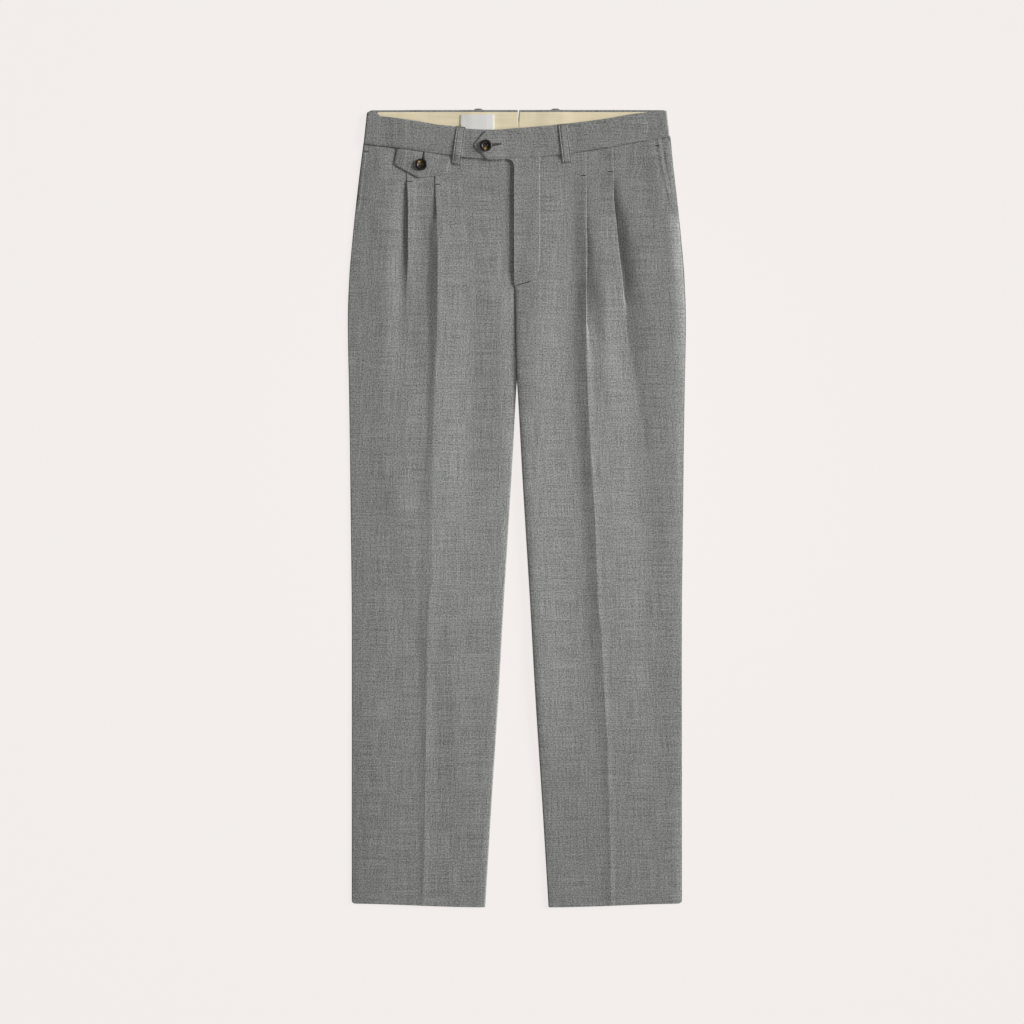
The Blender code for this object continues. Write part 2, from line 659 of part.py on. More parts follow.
def front_loop(side, material, collection):
    """A belt loop over the front waistband: sewn at its ends, standing off the waistband between them."""
    grid = quad_grid(LOOP_FRONT[side], 2, 12)
    x, drop = grid[..., 0], grid[..., 1]
    on_band = front_band_height(side, x) + BAND_WALL / 2 + loop_cover(x, drop)
    on_panel = front_top(side, side * x, drop)
    past = drop - waist_seam(side, x)
    under = on_band + (on_panel - on_band) * smooth(past / LOOP_STEP)
    under = np.where(past > 0.0, np.maximum(under, on_panel), under)
    stand = LOOP_BULGE * np.sin(math.pi * np.linspace(0.0, 1.0, grid.shape[0]))[:, None] ** 2
    height = under + GAP + LOOP_WALL / 2 + stand
    points = np.dstack([x, drop, height])
    return cloth("belt_loop_front_" + SIDE_NAME[side], points, LOOP_WALL, material, collection)


def back_loop(side, material, collection):
    """A belt loop under the back waistband: a strip that lies on the surface."""
    left, right = side * LOOP_BACK_X - LOOP_BACK_WIDTH / 2, side * LOOP_BACK_X + LOOP_BACK_WIDTH / 2
    corners = ((left, -LOOP_RISE), (right, -LOOP_RISE), (right, LOOP_BACK_END), (left, LOOP_BACK_END))
    grid = quad_grid(corners, 2, 4)
    height = np.full(grid.shape[:2], LOOP_WALL / 2)
    points = np.dstack([grid[..., 0], grid[..., 1], height])
    return cloth("belt_loop_back_" + SIDE_NAME[side], points, LOOP_WALL, material, collection)


def flap_height(x, drop):
    """Height of the middle of the watch-pocket flap, which bridges the pleats."""
    reach = -x
    level = along(FLAP_LEVEL, x)[0]
    return resting_height(RIGHT, reach, drop) + STITCHED_PLEAT * level + WALL + GAP


def coin_flap(material, collection):
    """The pointed flap of the watch pocket, hanging from the right waist seam over the pleats."""
    edge = np.array(FLAP_EDGE)
    share = np.linspace(0.0, 1.0, 13)
    length = np.concatenate([[0.0], np.cumsum(np.hypot(*np.diff(edge, axis=0).T))])
    stations = np.unique(np.concatenate([share, length / length[-1]]))
    lower_x = np.interp(stations, length / length[-1], edge[:, 0])
    lower_drop = np.interp(stations, length / length[-1], edge[:, 1])
    upper_x = FLAP_TOP[0] + (FLAP_TOP[1] - FLAP_TOP[0]) * stations
    upper_drop = waist_seam(RIGHT, upper_x) + GAP
    down = np.linspace(0.0, 1.0, 5)[:, None]
    x = upper_x + (lower_x - upper_x) * down
    drop = upper_drop + (lower_drop - upper_drop) * down
    points = np.dstack([x, drop, flap_height(x, drop)])
    return cloth("coin_pocket_flap", points, WALL, material, collection)


def button_ground(middle):
    """The places under a button, as x and drop."""
    across = np.linspace(-BUTTON_RADIUS, BUTTON_RADIUS, 9)
    x, drop = np.meshgrid(middle[0] + across, middle[1] + across)
    inside = np.hypot(x - middle[0], drop - middle[1]) <= BUTTON_RADIUS
    return x[inside], drop[inside]


def button(name, middle, height, material, collection, cutters):
    """A four-hole button: a turned profile with a sunken face, and four holes cut through it."""
    x, drop = middle
    mesh = bpy.data.meshes.new(name)
    profile = [(share * BUTTON_RADIUS * MM, 0.0, rise * MM) for share, rise in BUTTON_PROFILE]
    mesh.from_pydata(profile, [(i, i + 1) for i in range(len(profile) - 1)], [])
    mesh.materials.append(material)
    piece = bpy.data.objects.new(name, mesh)
    piece.location = (x * MM, (MIDDLE_DROP - drop) * MM, height * MM)
    collection.objects.link(piece)
    turned = piece.modifiers.new("Turned", "SCREW")
    turned.steps = turned.render_steps = BUTTON_SIDES
    turned.use_merge_vertices = True
    turned.merge_threshold = 0.00001
    for column in (-1, 1):
        for row in (-1, 1):
            bpy.ops.mesh.primitive_cylinder_add(
                vertices=HOLE_SIDES,
                radius=BUTTON_HOLE * MM,
                depth=4 * BUTTON_RADIUS * MM,
                location=piece.location,
            )
            cutter = bpy.context.object
            cutter.name = name + "_hole"
            cutter.location.x += column * BUTTON_HOLE_PLACE * MM
            cutter.location.y += row * BUTTON_HOLE_PLACE * MM
            cutter.hide_render = True
            cutter.display_type = "WIRE"
            for owner in cutter.users_collection:
                owner.objects.unlink(cutter)
            cutters.objects.link(cutter)
            hole = piece.modifiers.new("Hole", "BOOLEAN")
            hole.operation = "DIFFERENCE"
            hole.object = cutter
    return piece


def new_material(name, colour, roughness):
    """A Principled BSDF of one colour."""
    material = bpy.data.materials.new(name)
    material.use_nodes = True
    shader = material.node_tree.nodes["Principled BSDF"]
    shader.inputs["Base Color"].default_value = (*colour, 1.0)
    shader.inputs["Roughness"].default_value = roughness
    material.diffuse_color = (*colour, 1.0)
    return material


def new_collection(name):
    """A collection under the scene's own."""
    collection = bpy.data.collections.new(name)
    bpy.context.scene.collection.children.link(collection)
    return collection


def main():
    """Clears the scene and builds the trousers."""
    for thing in list(bpy.data.objects):
        bpy.data.objects.remove(thing, do_unlink=True)
    trousers = new_collection("pleated_dress_trousers")
    cutters = new_collection("cutters")

    for side in (LEFT, RIGHT):
        name = SIDE_NAME[side]
        back_panel(side, new_material("suiting_back_panel_" + name, *SUITING), trousers)
        front_panel(side, new_material("suiting_front_panel_" + name, *SUITING), trousers)
        waistband(side, new_material("suiting_waistband_" + name, *SUITING), trousers)
        lining(side, new_material("lining_" + name, *LINING), trousers)
        pocket_facing(side, new_material("suiting_facing_" + name, *SUITING), trousers)
        front_loop(side, new_material("suiting_front_loop_" + name, *SUITING), trousers)
        back_loop(side, new_material("suiting_back_loop_" + name, *SUITING), trousers)
    label(new_material("label", *LABEL), trousers)
    coin_flap(new_material("suiting_flap", *SUITING), trousers)

    x, drop = button_ground(BUTTON_WAIST)
    on_tab = float(np.max(front_band_height(LEFT, x) + loop_cover(x, drop))) + BAND_WALL / 2 + GAP
    button("button_waist", BUTTON_WAIST, on_tab, new_material("button_waist", *BUTTON), trousers, cutters)
    on_flap = float(np.max(flap_height(*button_ground(BUTTON_FLAP)))) + WALL / 2 + GAP
    button("button_flap", BUTTON_FLAP, on_flap, new_material("button_flap", *BUTTON), trousers, cutters)


main()
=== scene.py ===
"""Pleated dress trousers laid flat with the front up: every cloth piece, its sewing and its buttons.

The file is laid out as an add-on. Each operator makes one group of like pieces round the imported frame.
A place on the garment is given in millimetres as x, across it (+X is the wearer's left), its drop, the
distance down from the top edge of the back waistband, and its height above the surface that it lies on.
"""

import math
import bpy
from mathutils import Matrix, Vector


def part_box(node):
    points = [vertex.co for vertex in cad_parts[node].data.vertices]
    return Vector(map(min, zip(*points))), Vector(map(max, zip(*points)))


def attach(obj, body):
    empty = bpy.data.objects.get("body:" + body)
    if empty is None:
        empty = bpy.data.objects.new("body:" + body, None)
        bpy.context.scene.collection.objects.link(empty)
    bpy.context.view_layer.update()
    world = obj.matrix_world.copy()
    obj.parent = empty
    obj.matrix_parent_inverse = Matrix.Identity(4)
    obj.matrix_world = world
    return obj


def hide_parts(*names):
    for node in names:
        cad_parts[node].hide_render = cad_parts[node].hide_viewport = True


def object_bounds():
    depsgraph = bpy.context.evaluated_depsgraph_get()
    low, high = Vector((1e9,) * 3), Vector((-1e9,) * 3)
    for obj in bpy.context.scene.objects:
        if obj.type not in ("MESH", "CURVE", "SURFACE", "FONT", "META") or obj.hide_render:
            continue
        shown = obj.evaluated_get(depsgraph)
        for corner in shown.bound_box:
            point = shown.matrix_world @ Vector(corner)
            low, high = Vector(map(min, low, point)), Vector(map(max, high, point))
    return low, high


bl_info = {
    "name": "Pleated Dress Trousers",
    "version": (1, 0, 0),
    "blender": (4, 5, 0),
    "location": "View3D > Sidebar > Trousers",
    "description": "Makes a pair of pleated dress trousers laid flat, with its cloth, sewing and buttons",
    "category": "Object",
}

import bpy
import numpy as np
from bpy.props import FloatProperty, FloatVectorProperty, PointerProperty
from mathutils import Vector

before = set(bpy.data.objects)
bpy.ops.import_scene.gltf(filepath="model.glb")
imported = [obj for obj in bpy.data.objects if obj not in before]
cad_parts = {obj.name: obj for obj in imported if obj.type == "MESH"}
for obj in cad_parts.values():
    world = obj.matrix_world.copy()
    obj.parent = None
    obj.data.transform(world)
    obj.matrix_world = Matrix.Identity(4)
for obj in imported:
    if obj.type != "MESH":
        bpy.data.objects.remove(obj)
CAD_BOX = [list(corner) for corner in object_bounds()]

MM = 0.001
LEFT, RIGHT = 1, -1  # the wearer's sides, as the sign of x
SIDE_NAME = {LEFT: "left", RIGHT: "right"}

# Whole garment
LOOP_RISE = 2.4  # how far the back belt loops stand above the top edge
MIDDLE_DROP = CAD_BOX[1][1] / MM - LOOP_RISE  # drop of the frame's origin
HEM_INNER = 1075.0  # drop of the hem at the inseam
HEM_OUTER = 1070.3  # and at the side seam
SEAM_CURVE = 150.0  # length over which the rows of a panel take up the slant of its waist seam and hem
WAIST_ROW = 52.0  # drop of a front panel's first row, before it takes up the slant
WAIST_TUCK = 1.4  # how far the front panels run up under the waistband
BACK_TUCK = 1.0  # and the back panels
BACK_CURVE = 40.0  # length over which a back panel's rows take up the slant of its waist seam

# Heights of the layers, and walls of the shells that are thinner than their layer
GAP = 0.3
BACK_WALL = 0.8
FRONT_WALL = 0.45
BAND_LAYER = 2.0
BAND_WALL = 1.1
FLAP_WALL = 0.9
LINING_LAYER = 1.0
LABEL_LAYER = 0.45
FACING_LAYER = 0.5
LOOP_LAYER = 0.75
BACK_LOOP_LAYER = 0.6

# How the front panels lie on the back ones
PUFF = 2.0  # how far a front panel stands up between its edges
PUFF_START = 60.0  # length below the waist seam over which it rises to that
WAIST_RISE = 1.2  # how much more it stands up at the waist seam
WAIST_RISE_LENGTH = 60.0
REST_EASE = 0.2  # how softly it levels out where it comes down on the back panel
# Width of the roll down to the inseam and to the side seam, and the share of it in a steep last part
INNER_ROLL = {LEFT: 9.0, RIGHT: 10.0}
INNER_STEEP = {LEFT: 0.8, RIGHT: 0.6}
OUTER_ROLL = {LEFT: 15.0, RIGHT: 50.0}
OUTER_STEEP = {LEFT: 0.1, RIGHT: 0.1}
STEEP_ROLL = 0.8  # width of that part
CROTCH_FADE = 26.0  # length over which the roll begins at the crotch

NOISE_SIZE = 256  # cells of noise before it repeats
GRADED_STEPS = 2001  # steps in which the places of a grid's rows and columns are worked out
# Ripples of the cloth: height, size of a cell across and down, seed
FRONT_RIPPLES = ((0.20, 34.0, 95.0, 5), (0.07, 11.0, 23.0, 6))
BAND_RIPPLES = ((0.12, 27.0, 18.0, 11),)
FLAP_RIPPLES = ((0.10, 17.0, 13.0, 15),)
FACING_RIPPLES = ((0.08, 9.0, 21.0, 21),)
LINING_RIPPLES = ((0.12, 26.0, 14.0, 31),)
LABEL_RIPPLES = ((0.08, 13.0, 9.0, 33),)
# Puckers along an edge: height, width, size of a cell along the edge and across it, seed
SIDE_PUCKER = (0.16, 9.0, 7.0, 40.0, 7)
INNER_PUCKER = (0.14, 8.0, 8.0, 40.0, 8)
BAND_PUCKER = (0.10, 5.0, 6.0, 30.0, 12)
LINING_PUCKER = (0.10, 6.0, 9.0, 40.0, 32)
# Edges that stand up or turn down: height at the edge, width over which it dies away
CENTRE_SEAM_TURN = {LEFT: (-1.0, 1.5), RIGHT: (-1.0, 0.9)}
WAIST_SEAM_TURN = (-0.5, 1.1)
LEVEL_SEAM_STAND = (0.8, 9.0)
FLY_STAND = (1.2, 11.0)
BAND_TURN = (-0.4, 1.6)
BAND_SEAM_TURN = (-1.1, 1.8)
FLAP_TURN = (-0.55, 1.5)
FLAP_SEAM_TURN = (-0.9, 2.2)
FACING_TURN = (-0.25, 2.0)
LINING_TURN = (-0.35, 1.2)
LABEL_TURN = (-0.08, 1.2)
LOOP_TOP_TURN = (-0.9, 0.03)  # widths as shares of the loop's length
LOOP_FOOT_TURN = (-0.1, 0.02)
# Raised lines and grooves: distance from the edge, width, height
OPENING_STITCH = 4.6
OPENING_GROOVE = (OPENING_STITCH, 0.9, -0.28)
OPENING_RIM = (1.0, 2.2)
FLY_GROOVE = (0.0, 0.8, -0.55)
FLAP_GROOVE = (4.6, 0.8, -0.12)
HEM_GROOVE = (0.0, 1.6, -0.08)
LABEL_RIM = (3.0, 2.0, 0.05)
PRESSED_LINE = (142.0, 0.9, 0.16)  # beside the outer left pleat, from the centre line
PRESSED_LENGTH = (52.0, 80.0, 6.0)  # drops that it runs between, and how it fades

# Hem: its turn-up shows as a step
HEM_TURN = 40.0
HEM_LINE = ((0.0, HEM_INNER), (300.0, HEM_OUTER))  # reach, drop
HEM_STEP = 0.12
HEM_STEP_RUN = 2.5

# Grids: number of rows or columns, then where they lie closer together: share, half width, gain
BACK_ROWS = (120, (0.02, 0.03, 3.0), (0.31, 0.02, 2.0), (1.0, 0.01, 6.0))
BACK_COLUMNS = (60, (0.0, 0.05, 2.0), (0.25, 0.08, 1.5), (1.0, 0.03, 4.0))
FRONT_ROWS = (
    300, (0.0, 0.02, 3.0), (0.0015, 0.003, 12.0), (0.045, 0.02, 2.5), (0.18, 0.02, 2.5),
    (0.305, 0.012, 1.5), (1.0, 0.006, 5.0),
)
CENTRE_COLUMNS = {
    LEFT: (62, (0.0, 0.02, 3.0), (0.373, 0.025, 3.0), (1.0, 0.04, 1.0)),
    RIGHT: (62, (0.0, 0.02, 2.0), (0.14, 0.06, 1.0), (1.0, 0.04, 1.0)),
}
BETWEEN_COLUMNS = (18, (0.0, 0.05, 3.0), (1.0, 0.1, 1.0))
SIDE_COLUMNS = (30, (0.0, 0.06, 2.0), (1.0, 0.08, 4.0))
BAND_ROWS = {
    LEFT: (36, (0.0, 0.08, 2.0), (0.5, 0.05, 2.0), (1.0, 0.08, 2.0)),
    RIGHT: (36, (0.0, 0.08, 2.0), (1.0, 0.08, 2.0)),
}
BAND_COLUMNS = {LEFT: (190, (0.0, 0.01, 2.0), (0.12, 0.04, 2.0)), RIGHT: (190, (0.0, 0.01, 2.0))}
BAND_BACK_COLUMNS = (84, (0.73, 0.08, 1.0), (1.0, 0.02, 3.0))
LINING_COLUMNS = (110, (0.0, 0.02, 3.0), (0.27, 0.1, 1.0))
BACK_LOOP_ROWS = (30, (0.0, 0.05, 4.0))
FLAP_ROWS = (48, (1.0, 0.08, 2.0), (0.25, 0.15, 1.0))
FLAP_COLUMNS = (110, (0.5, 0.06, 1.5))
BUTTON_RINGS = (76, (0.2, 0.12, 1.5))
BUTTON_SIDES = 96
RIM_STEPS = 6
FOLD_STEPS = 7
FOLD_COLUMNS = 14
THREAD_RINGS = 6
THREAD_SIDES = 6
# How far the weave is moved on along each piece
SHIFT = {
    "back": 400.0, "facing": 90.0, "front": 150.0, "band": 700.0, "lining": 300.0,
    "label": 40.0, "loop_front": 30.0, "loop_back": 60.0, "flap": 210.0,
}

# Threads: radius, and how far they rise between their ends
THREAD_END = 0.45  # radius at the ends, as a share
FRONT_THREAD = (0.24, 0.22)
HOLE_THREAD = (0.27, 0.18)
LOOP_THREAD = (0.26, 0.12)
BUTTON_THREAD = (0.24, 0.35)
# Bar tacks on the front panels: start and end, as x and drop
FLY_TACK = ((0.0, 236.4), (19.0, 230.8))
FLY_TACK_STRANDS = 40
TACKS = {
    LEFT: (
        ((86.5, 88.0), (93.0, 88.0)), ((123.0, 83.0), (129.6, 83.0)), ((187.0, 47.8), (192.0, 47.2)),
        ((199.6, 126.0), (205.2, 126.4)),
    ),
    RIGHT: (
        ((-148.0, 96.2), (-140.5, 96.2)), ((-109.2, 100.0), (-103.8, 100.0)),
        ((-205.2, 56.2), (-200.4, 55.6)),
    ),
}

# Side seam: drop, distance from the centre line
SIDE_SEAM = (
    (0.0, 202.4), (44.0, 207.1), (121.0, 216.1), (175.0, 221.7), (229.0, 226.1), (283.0, 227.9),
    (391.0, 226.0), (526.0, 224.2), (715.0, 222.4), (1080.0, 222.5),
)
# Inseam: drop, distance from the centre line
INSEAM = (
    (363.0, 0.3), (391.0, 2.1), (499.0, 8.0), (607.0, 14.6), (661.0, 17.9), (796.0, 25.5), (931.0, 34.3),
    (1080.0, 43.4),
)
CROTCH = INSEAM[0][0]
HEM_CORNER = 4.0  # radius of the hem's outer corner
# Centre front: drop, reach of the panel's inner edge, measured outwards from the centre line
FLY_FOOT = 241.0
FLY_EDGE = {
    LEFT: (
        (40.0, -12.0), (53.4, -12.0), (56.0, -8.0), (59.0, -5.4), (63.5, -4.2), (70.0, -3.9), (228.0, -3.9),
        (FLY_FOOT, -2.85), (CROTCH, 0.3),
    ),
    RIGHT: ((40.0, -22.0), (222.0, -22.0), (FLY_FOOT, 3.15), (CROTCH, 0.3)),
}
FLY_LIFT = 0.8  # how much more the cloth stands up over the fly's layers
FLY_WIDTH = 22.0  # reach of those layers
FLY_FALL = 58.0  # width over which the cloth comes down beyond them
FLY_SINK = 32.0  # height above the foot of the fly at which it begins to come down
FLY_SETTLE = 21.0  # length over which it does so
FLY_STEP = 0.7  # the step at the fly's stitching: height, run and where it begins outside the line
FLY_STEP_RUN = 3.4
FLY_STEP_START = 1.8
FLY_STEP_FADE = 6.0  # length over which it dies out below the foot
SEAM_EASE = 4.0  # length over which the centre seam's groove starts and ends
# Line of the fly's stitching, as x and drop
FLY_STITCH = (
    (31.8, 55.0), (31.8, 204.0), (31.2, 211.0), (29.2, 218.0), (25.6, 224.5), (20.2, 229.8), (12.0, 233.6),
    (2.0, 236.0),
)
FLY_START = 12.0  # length of that line above its first stitch
SIDE_INSET = {LEFT: 1.3, RIGHT: 0.2}  # how far a front panel stops short of its back panel

# Waistband halves: x, drop of the top edge, drop of the seam
BAND = {
    RIGHT: (
        (-206, 0.6, 44.8), (-190, 3.9, 47.5), (-184, 8.2, 48.2), (-161, 11.3, 50.5), (-130, 16.1, 55.1),
        (-107, 20.4, 58.4), (-84, 22.7, 61.3), (-67, 25.8, 64), (-53, 26.9, 65), (-20, 27.5, 65.4),
        (24, 27.5, 65.4),
    ),
    LEFT: (
        (-59, 47.7, 49.5), (-57.5, 46, 51), (-48, 34.9, 60.1), (-43.6, 29.9, 64.2), (-42, 28.5, 65.7),
        (-39.5, 27.8, 67), (-22, 26.9, 66.6), (-4, 25.4, 65), (43, 21.5, 61.8), (69, 18.5, 59),
        (92, 16.2, 54.5), (124, 11.6, 50.2), (157, 5.8, 43.2), (177, 3.1, 40.3), (206, 0.4, 35.2),
    ),
}
BAND_END = {RIGHT: -5.0, LEFT: -59.0}
BACK_SEAM = 42.0  # drop of the back waist seam over most of its length
BACK_SEAM_BEND = (130.0, 190.0)  # reaches between which it turns up to meet the front seam
FOLD_REACH = 196.0  # where the waistband's fold begins, before it follows the slope of the side
FOLD_ROOM = 4.0  # how far inside the side seam the two seams meet
CENTRE_BACK = 2.3  # x of the centre back seam at the waist
NOTCH_HALF = 1.3  # half the width of the notch at the centre back
NOTCH_DEPTH = 18.0
BAND_CORNER = {LEFT: 0.6, RIGHT: 3.4}  # radius of the top corner at the side
PLEAT_ZONE = (92.0, 150.0, 28.0)  # reaches between which the pleats lift the waistband, and the slope
PLEAT_ZONE_LIFT = 1.0
TAB_SLOPE = (-8.0, 48.0)  # where the left waistband comes down from the end of the right one
LEVEL_SEAM = (-74.0, -20.0, 5.0)  # where the right panel is level with its waistband: from, to and slope
LEVEL_SEAM_TURN = 0.4  # how far the waistband's edge turns down there, as a share

# Pleats. Columns: drop; reach of the edge; length of cloth in the upper bend; turn in degrees; straight
# length after it; length of cloth in the lower bend; height of the edge over the cloth round about; height
# of the cloth well inside it; run of the slope inside the edge; run of the slope outside it; height of the
# cloth well outside it. A turn past 90 degrees folds the cloth back.
PLEATS = {
    LEFT: (
        (
            (40, 93.5, 0.75, 180, 0.5, 0.8, 0.5, 0, 12, 1.4, 0),
            (86, 93.3, 0.75, 180, 0.8, 0.8, 0.6, 0, 12, 1.6, 0),
            (98, 93.5, 0.8, 170, 2, 1, 1.1, 0, 12, 3, 0.3),
            (121, 94, 0.8, 165, 2.5, 0.9, 1.5, 0, 11, 3, 1.2),
            (155, 94.2, 0.9, 150, 3.7, 1.4, 2.2, 0, 13, 4.2, 1.6),
            (188, 94.6, 1, 130, 3.7, 2, 2.8, 0, 14, 7, 2),
            (215, 94.3, 1, 120, 3.8, 2.3, 3.4, 0, 14.5, 9, 2),
            (229, 94, 1, 115, 4, 2.5, 3.8, 0, 15, 11, 1.8),
            (250, 93.9, 1.1, 106, 3.4, 2.4, 4, 0, 15.5, 11, 1.4),
            (283, 93.8, 1.1, 98, 2, 1.8, 4.2, 0, 16, 11, 0.7),
            (308, 94.2, 1.6, 40, 0.6, 4, 4.3, 0, 16.5, 16, 0.3),
            (337, 95, 2, 12, 3, 8, 4.4, 0, 17, 32, -0.4), (404, 97.2, 1.6, 9, 2, 10, 4, 0, 15.5, 50, -1),
            (472, 100.6, 1.6, 9, 2, 10, 3.8, 0, 15, 50, -1),
            (553, 106, 1.6, 9, 1, 10, 3.4, 0, 15.5, 56, -1.4),
            (661, 110.4, 1.5, 9, 1, 9, 3, 0, 16, 60, -1.5),
            (715, 114.7, 1.5, 9, 1, 9, 2.2, 0, 15, 60, -1.8),
            (796, 119.2, 1.4, 9, 0.5, 8, 1.4, 0, 13, 60, -1.8),
            (877, 123.2, 1.3, 8.5, 0.5, 7.5, 1, 0, 10, 55, -1.2),
            (931, 124.5, 1.3, 8, 0.5, 7, 0.8, 0, 8, 50, -0.8),
            (1080, 128, 1.2, 7.5, 0.5, 6, 0.6, 0, 8, 45, -0.3),
        ),
        (
            (40, 129.3, 0.75, 180, 0.5, 0.8, 0.5, 0, 12, 1.4, 0),
            (81, 130, 0.75, 180, 0.8, 0.8, 0.6, 0, 12, 1.6, 0),
            (95, 130.4, 0.7, 170, 2.5, 0.8, 0.8, 0, 12, 5, 0.4),
            (121, 130.7, 0.9, 150, 3.7, 1.4, -0.2, 0, 14, 6, 1.4),
            (155, 134.3, 0.9, 140, 3.2, 1.4, -0.6, 0, 16, 11, 2.8),
            (188, 137.4, 1, 120, 2.6, 2, -0.9, 0, 20, 12, 3),
            (229, 142.2, 1.1, 105, 2, 2.4, -0.8, 0, 20, 11.5, 2.5),
            (248, 143.4, 1.4, 80, 0.8, 1.6, -0.8, 0, 20, 14, 2.4),
            (265, 143.4, 3, 14, 0.5, 3, -0.9, 0, 20, 16, 2.2), (285, 140, 4, 5, 0.5, 6, -0.9, 0, 22, 18, 2),
            (310, 142, 4, 4, 0.5, 6, -0.9, 0, 24, 19, 1.8), (350, 150, 4, 3, 0.5, 6, -0.6, 0, 26, 20, 1.6),
            (404, 160.5, 2, 1, 0.6, 6, 0, 0, 26, 22, 1.2), (553, 176, 2, 1, 0.6, 6, 0, 0, 26, 24, 0.8),
            (661, 182, 2, 1, 0.6, 6, 0, 0, 26, 24, 0.6), (796, 189, 2, 1, 0.6, 6, 0, 0, 26, 24, 0.3),
            (1080, 194, 2, 1, 0.6, 6, 0, 0, 26, 24, 0),
        ),
    ),
    RIGHT: (
        (
            (40, 111.5, 0.75, 180, 0.5, 0.8, 0.5, 0, 12, 1.4, 0),
            (97, 110.5, 0.75, 180, 0.8, 0.8, 0.6, 0, 12, 1.6, 0),
            (108, 109.8, 0.7, 165, 0.8, 0.8, 0.9, 0, 30, 4, 0),
            (121, 109, 0.6, 110, 0.5, 0.8, 1.8, 0.3, 40, 8, 0),
            (138, 108.3, 0.7, 34, 1.6, 4, 2.4, 0.8, 40, 10, 0), (155, 107.8, 1, 15, 5, 8, 3, 1.2, 40, 8, 0),
            (188, 106.9, 1, 17, 8, 8, 3.8, 1.4, 40, 9, 0),
            (229, 106.9, 1.2, 17, 9.5, 8, 4.3, 1.4, 38, 9, 0),
            (283, 107.3, 1.5, 15.5, 9, 7, 4.2, 1.2, 36, 12, 0),
            (337, 109.7, 2.5, 13.5, 6.5, 5.5, 3.4, 0.6, 36, 14, 0),
            (404, 112.6, 3.5, 11.5, 4.5, 6, 3.2, 0, 42, 60, 0),
            (472, 114.1, 3, 7.5, 6, 6, 3.4, 0, 44, 70, 0), (553, 115.3, 2.5, 4, 10, 10, 2.8, 0, 46, 55, 0),
            (634, 116, 2.2, 5, 9, 10, 2.1, 0, 38, 45, 0), (661, 117.6, 2, 6, 9, 10, 1.8, 0, 34, 40, 0),
            (715, 121, 1.8, 7, 6, 9, 1.3, 0, 18, 30, 0), (796, 122.4, 1.5, 7.5, 3, 9, 0.9, 0, 11, 25, 0),
            (931, 124, 1.2, 7.5, 0.5, 8, 0.65, 0, 9, 25, 0), (1080, 127, 1.2, 7, 0.5, 7, 0.5, 0, 8, 25, 0),
        ),
        (
            (40, 148, 0.75, 180, 0.5, 0.8, 0.3, 0, 12, 1.4, 0),
            (92, 148.5, 0.75, 180, 0.8, 0.8, 0.5, 0, 12, 1.6, 0),
            (104, 148, 0.9, 150, 1.2, 1.6, 1.2, 0, 12, 10, 0),
            (125, 147.2, 1, 100, 0.8, 2.3, 1.5, 0, 14, 18, 0), (150, 147, 1, 62, 0.5, 5, 1.5, 0, 16, 20, 0),
            (188, 147, 1.2, 42, 0.5, 7, 1.4, 0, 16, 20, 0),
            (210, 147.4, 1.4, 30, 0.5, 8, 1.1, 0, 16, 20, 0),
            (229, 148, 1.5, 19, 0.5, 9, 0.5, 0, 16, 20, 0), (256, 148.6, 2, 10, 0.5, 9, 0, 0, 18, 20, 0),
            (290, 149.4, 2, 5, 0.5, 9, -0.3, 0, 18, 20, 0), (340, 149.5, 2, 2, 0.5, 8, 0, 0, 18, 20, 0),
            (1080, 160, 2, 1, 0.5, 6, 0, 0, 18, 20, 0),
        ),
    ),
}
SLOPE_EASE = 0.17  # how softly a pleat's slope runs out
VALLEY_EASE = 0.5  # and the rise from its foot
KEEP_FADE = 42.0  # the height well inside a pleat dies out over this length at the centre
INNER_FADE = 10.0  # the second pleat's slope dies out over this length beyond the first pleat
INNER_FADE_START = 1.0
STITCHED_PLEAT = 0.8  # height of the pleats under the watch-pocket flap

# Soft folds: side, drop and reach of the upper end, drop and reach of the lower end, width, height
SOFT_FOLDS = (
    (LEFT, 230, 117, 380, 122, 12, 1.6), (LEFT, 270, 150, 860, 184, 17, -1),
    (LEFT, 110, 34, 420, 24, 30, 2), (LEFT, 260, 8, 860, 28, 36, 2.3), (LEFT, 440, 13, 860, 28, 36, 1.7),
    (RIGHT, 90, 172, 420, 178, 15, 1.1), (RIGHT, 240, 60, 520, 64, 18, -1.1),
    (RIGHT, 250, 18, 480, 22, 13, 0.8), (RIGHT, 350, 152, 540, 160, 17, 0.9),
    (RIGHT, 440, 187, 740, 113, 18, 0.6), (RIGHT, 620, 90, 900, 82, 15, 0.7),
)
SOFT_FOLD_FADE = 0.15  # share of a fold's length that its end fades over, twice

# Side pockets: drop and reach of the opening's edge
OPENING = {
    LEFT: ((36.0, 191.3), (81.0, 198.7), (107.0, 204.6), (127.0, 209.3), (139.0, 216.4)),
    RIGHT: ((36.0, 203.8), (81.0, 209.2), (107.0, 212.4), (127.0, 214.6), (139.0, 217.9)),
}
OPENING_OPEN = {LEFT: 0.85, RIGHT: 0.0}  # how much of its height the cloth keeps at the opening
OPENING_EDGE = {LEFT: 0.35, RIGHT: 0.1}  # how far the opening's turned edge stands up
OPENING_START = 14.0  # length of the opening above its first stitch
FACING_WIDTH = 24.0
FACING_END = 134.0
FACING_SLOPE = 20.0  # how softly the cloth comes down off the facing
FACING_TUCK = 0.6  # how far the facing starts below the waistband
FACING_CUT_IN = 4.0  # how far its upper corner is cut in, and the share of its length
FACING_CUT_SHARE = 0.08
FACING_HUMP = {LEFT: 0.9, RIGHT: 0.0}
FACING_HUMP_PLACE = 6.0
FACING_HUMP_WIDTH = 5.0
FACING_HUMP_START = 0.3  # share of the length over which the hump rises
FACING_GRID = (61, 19)

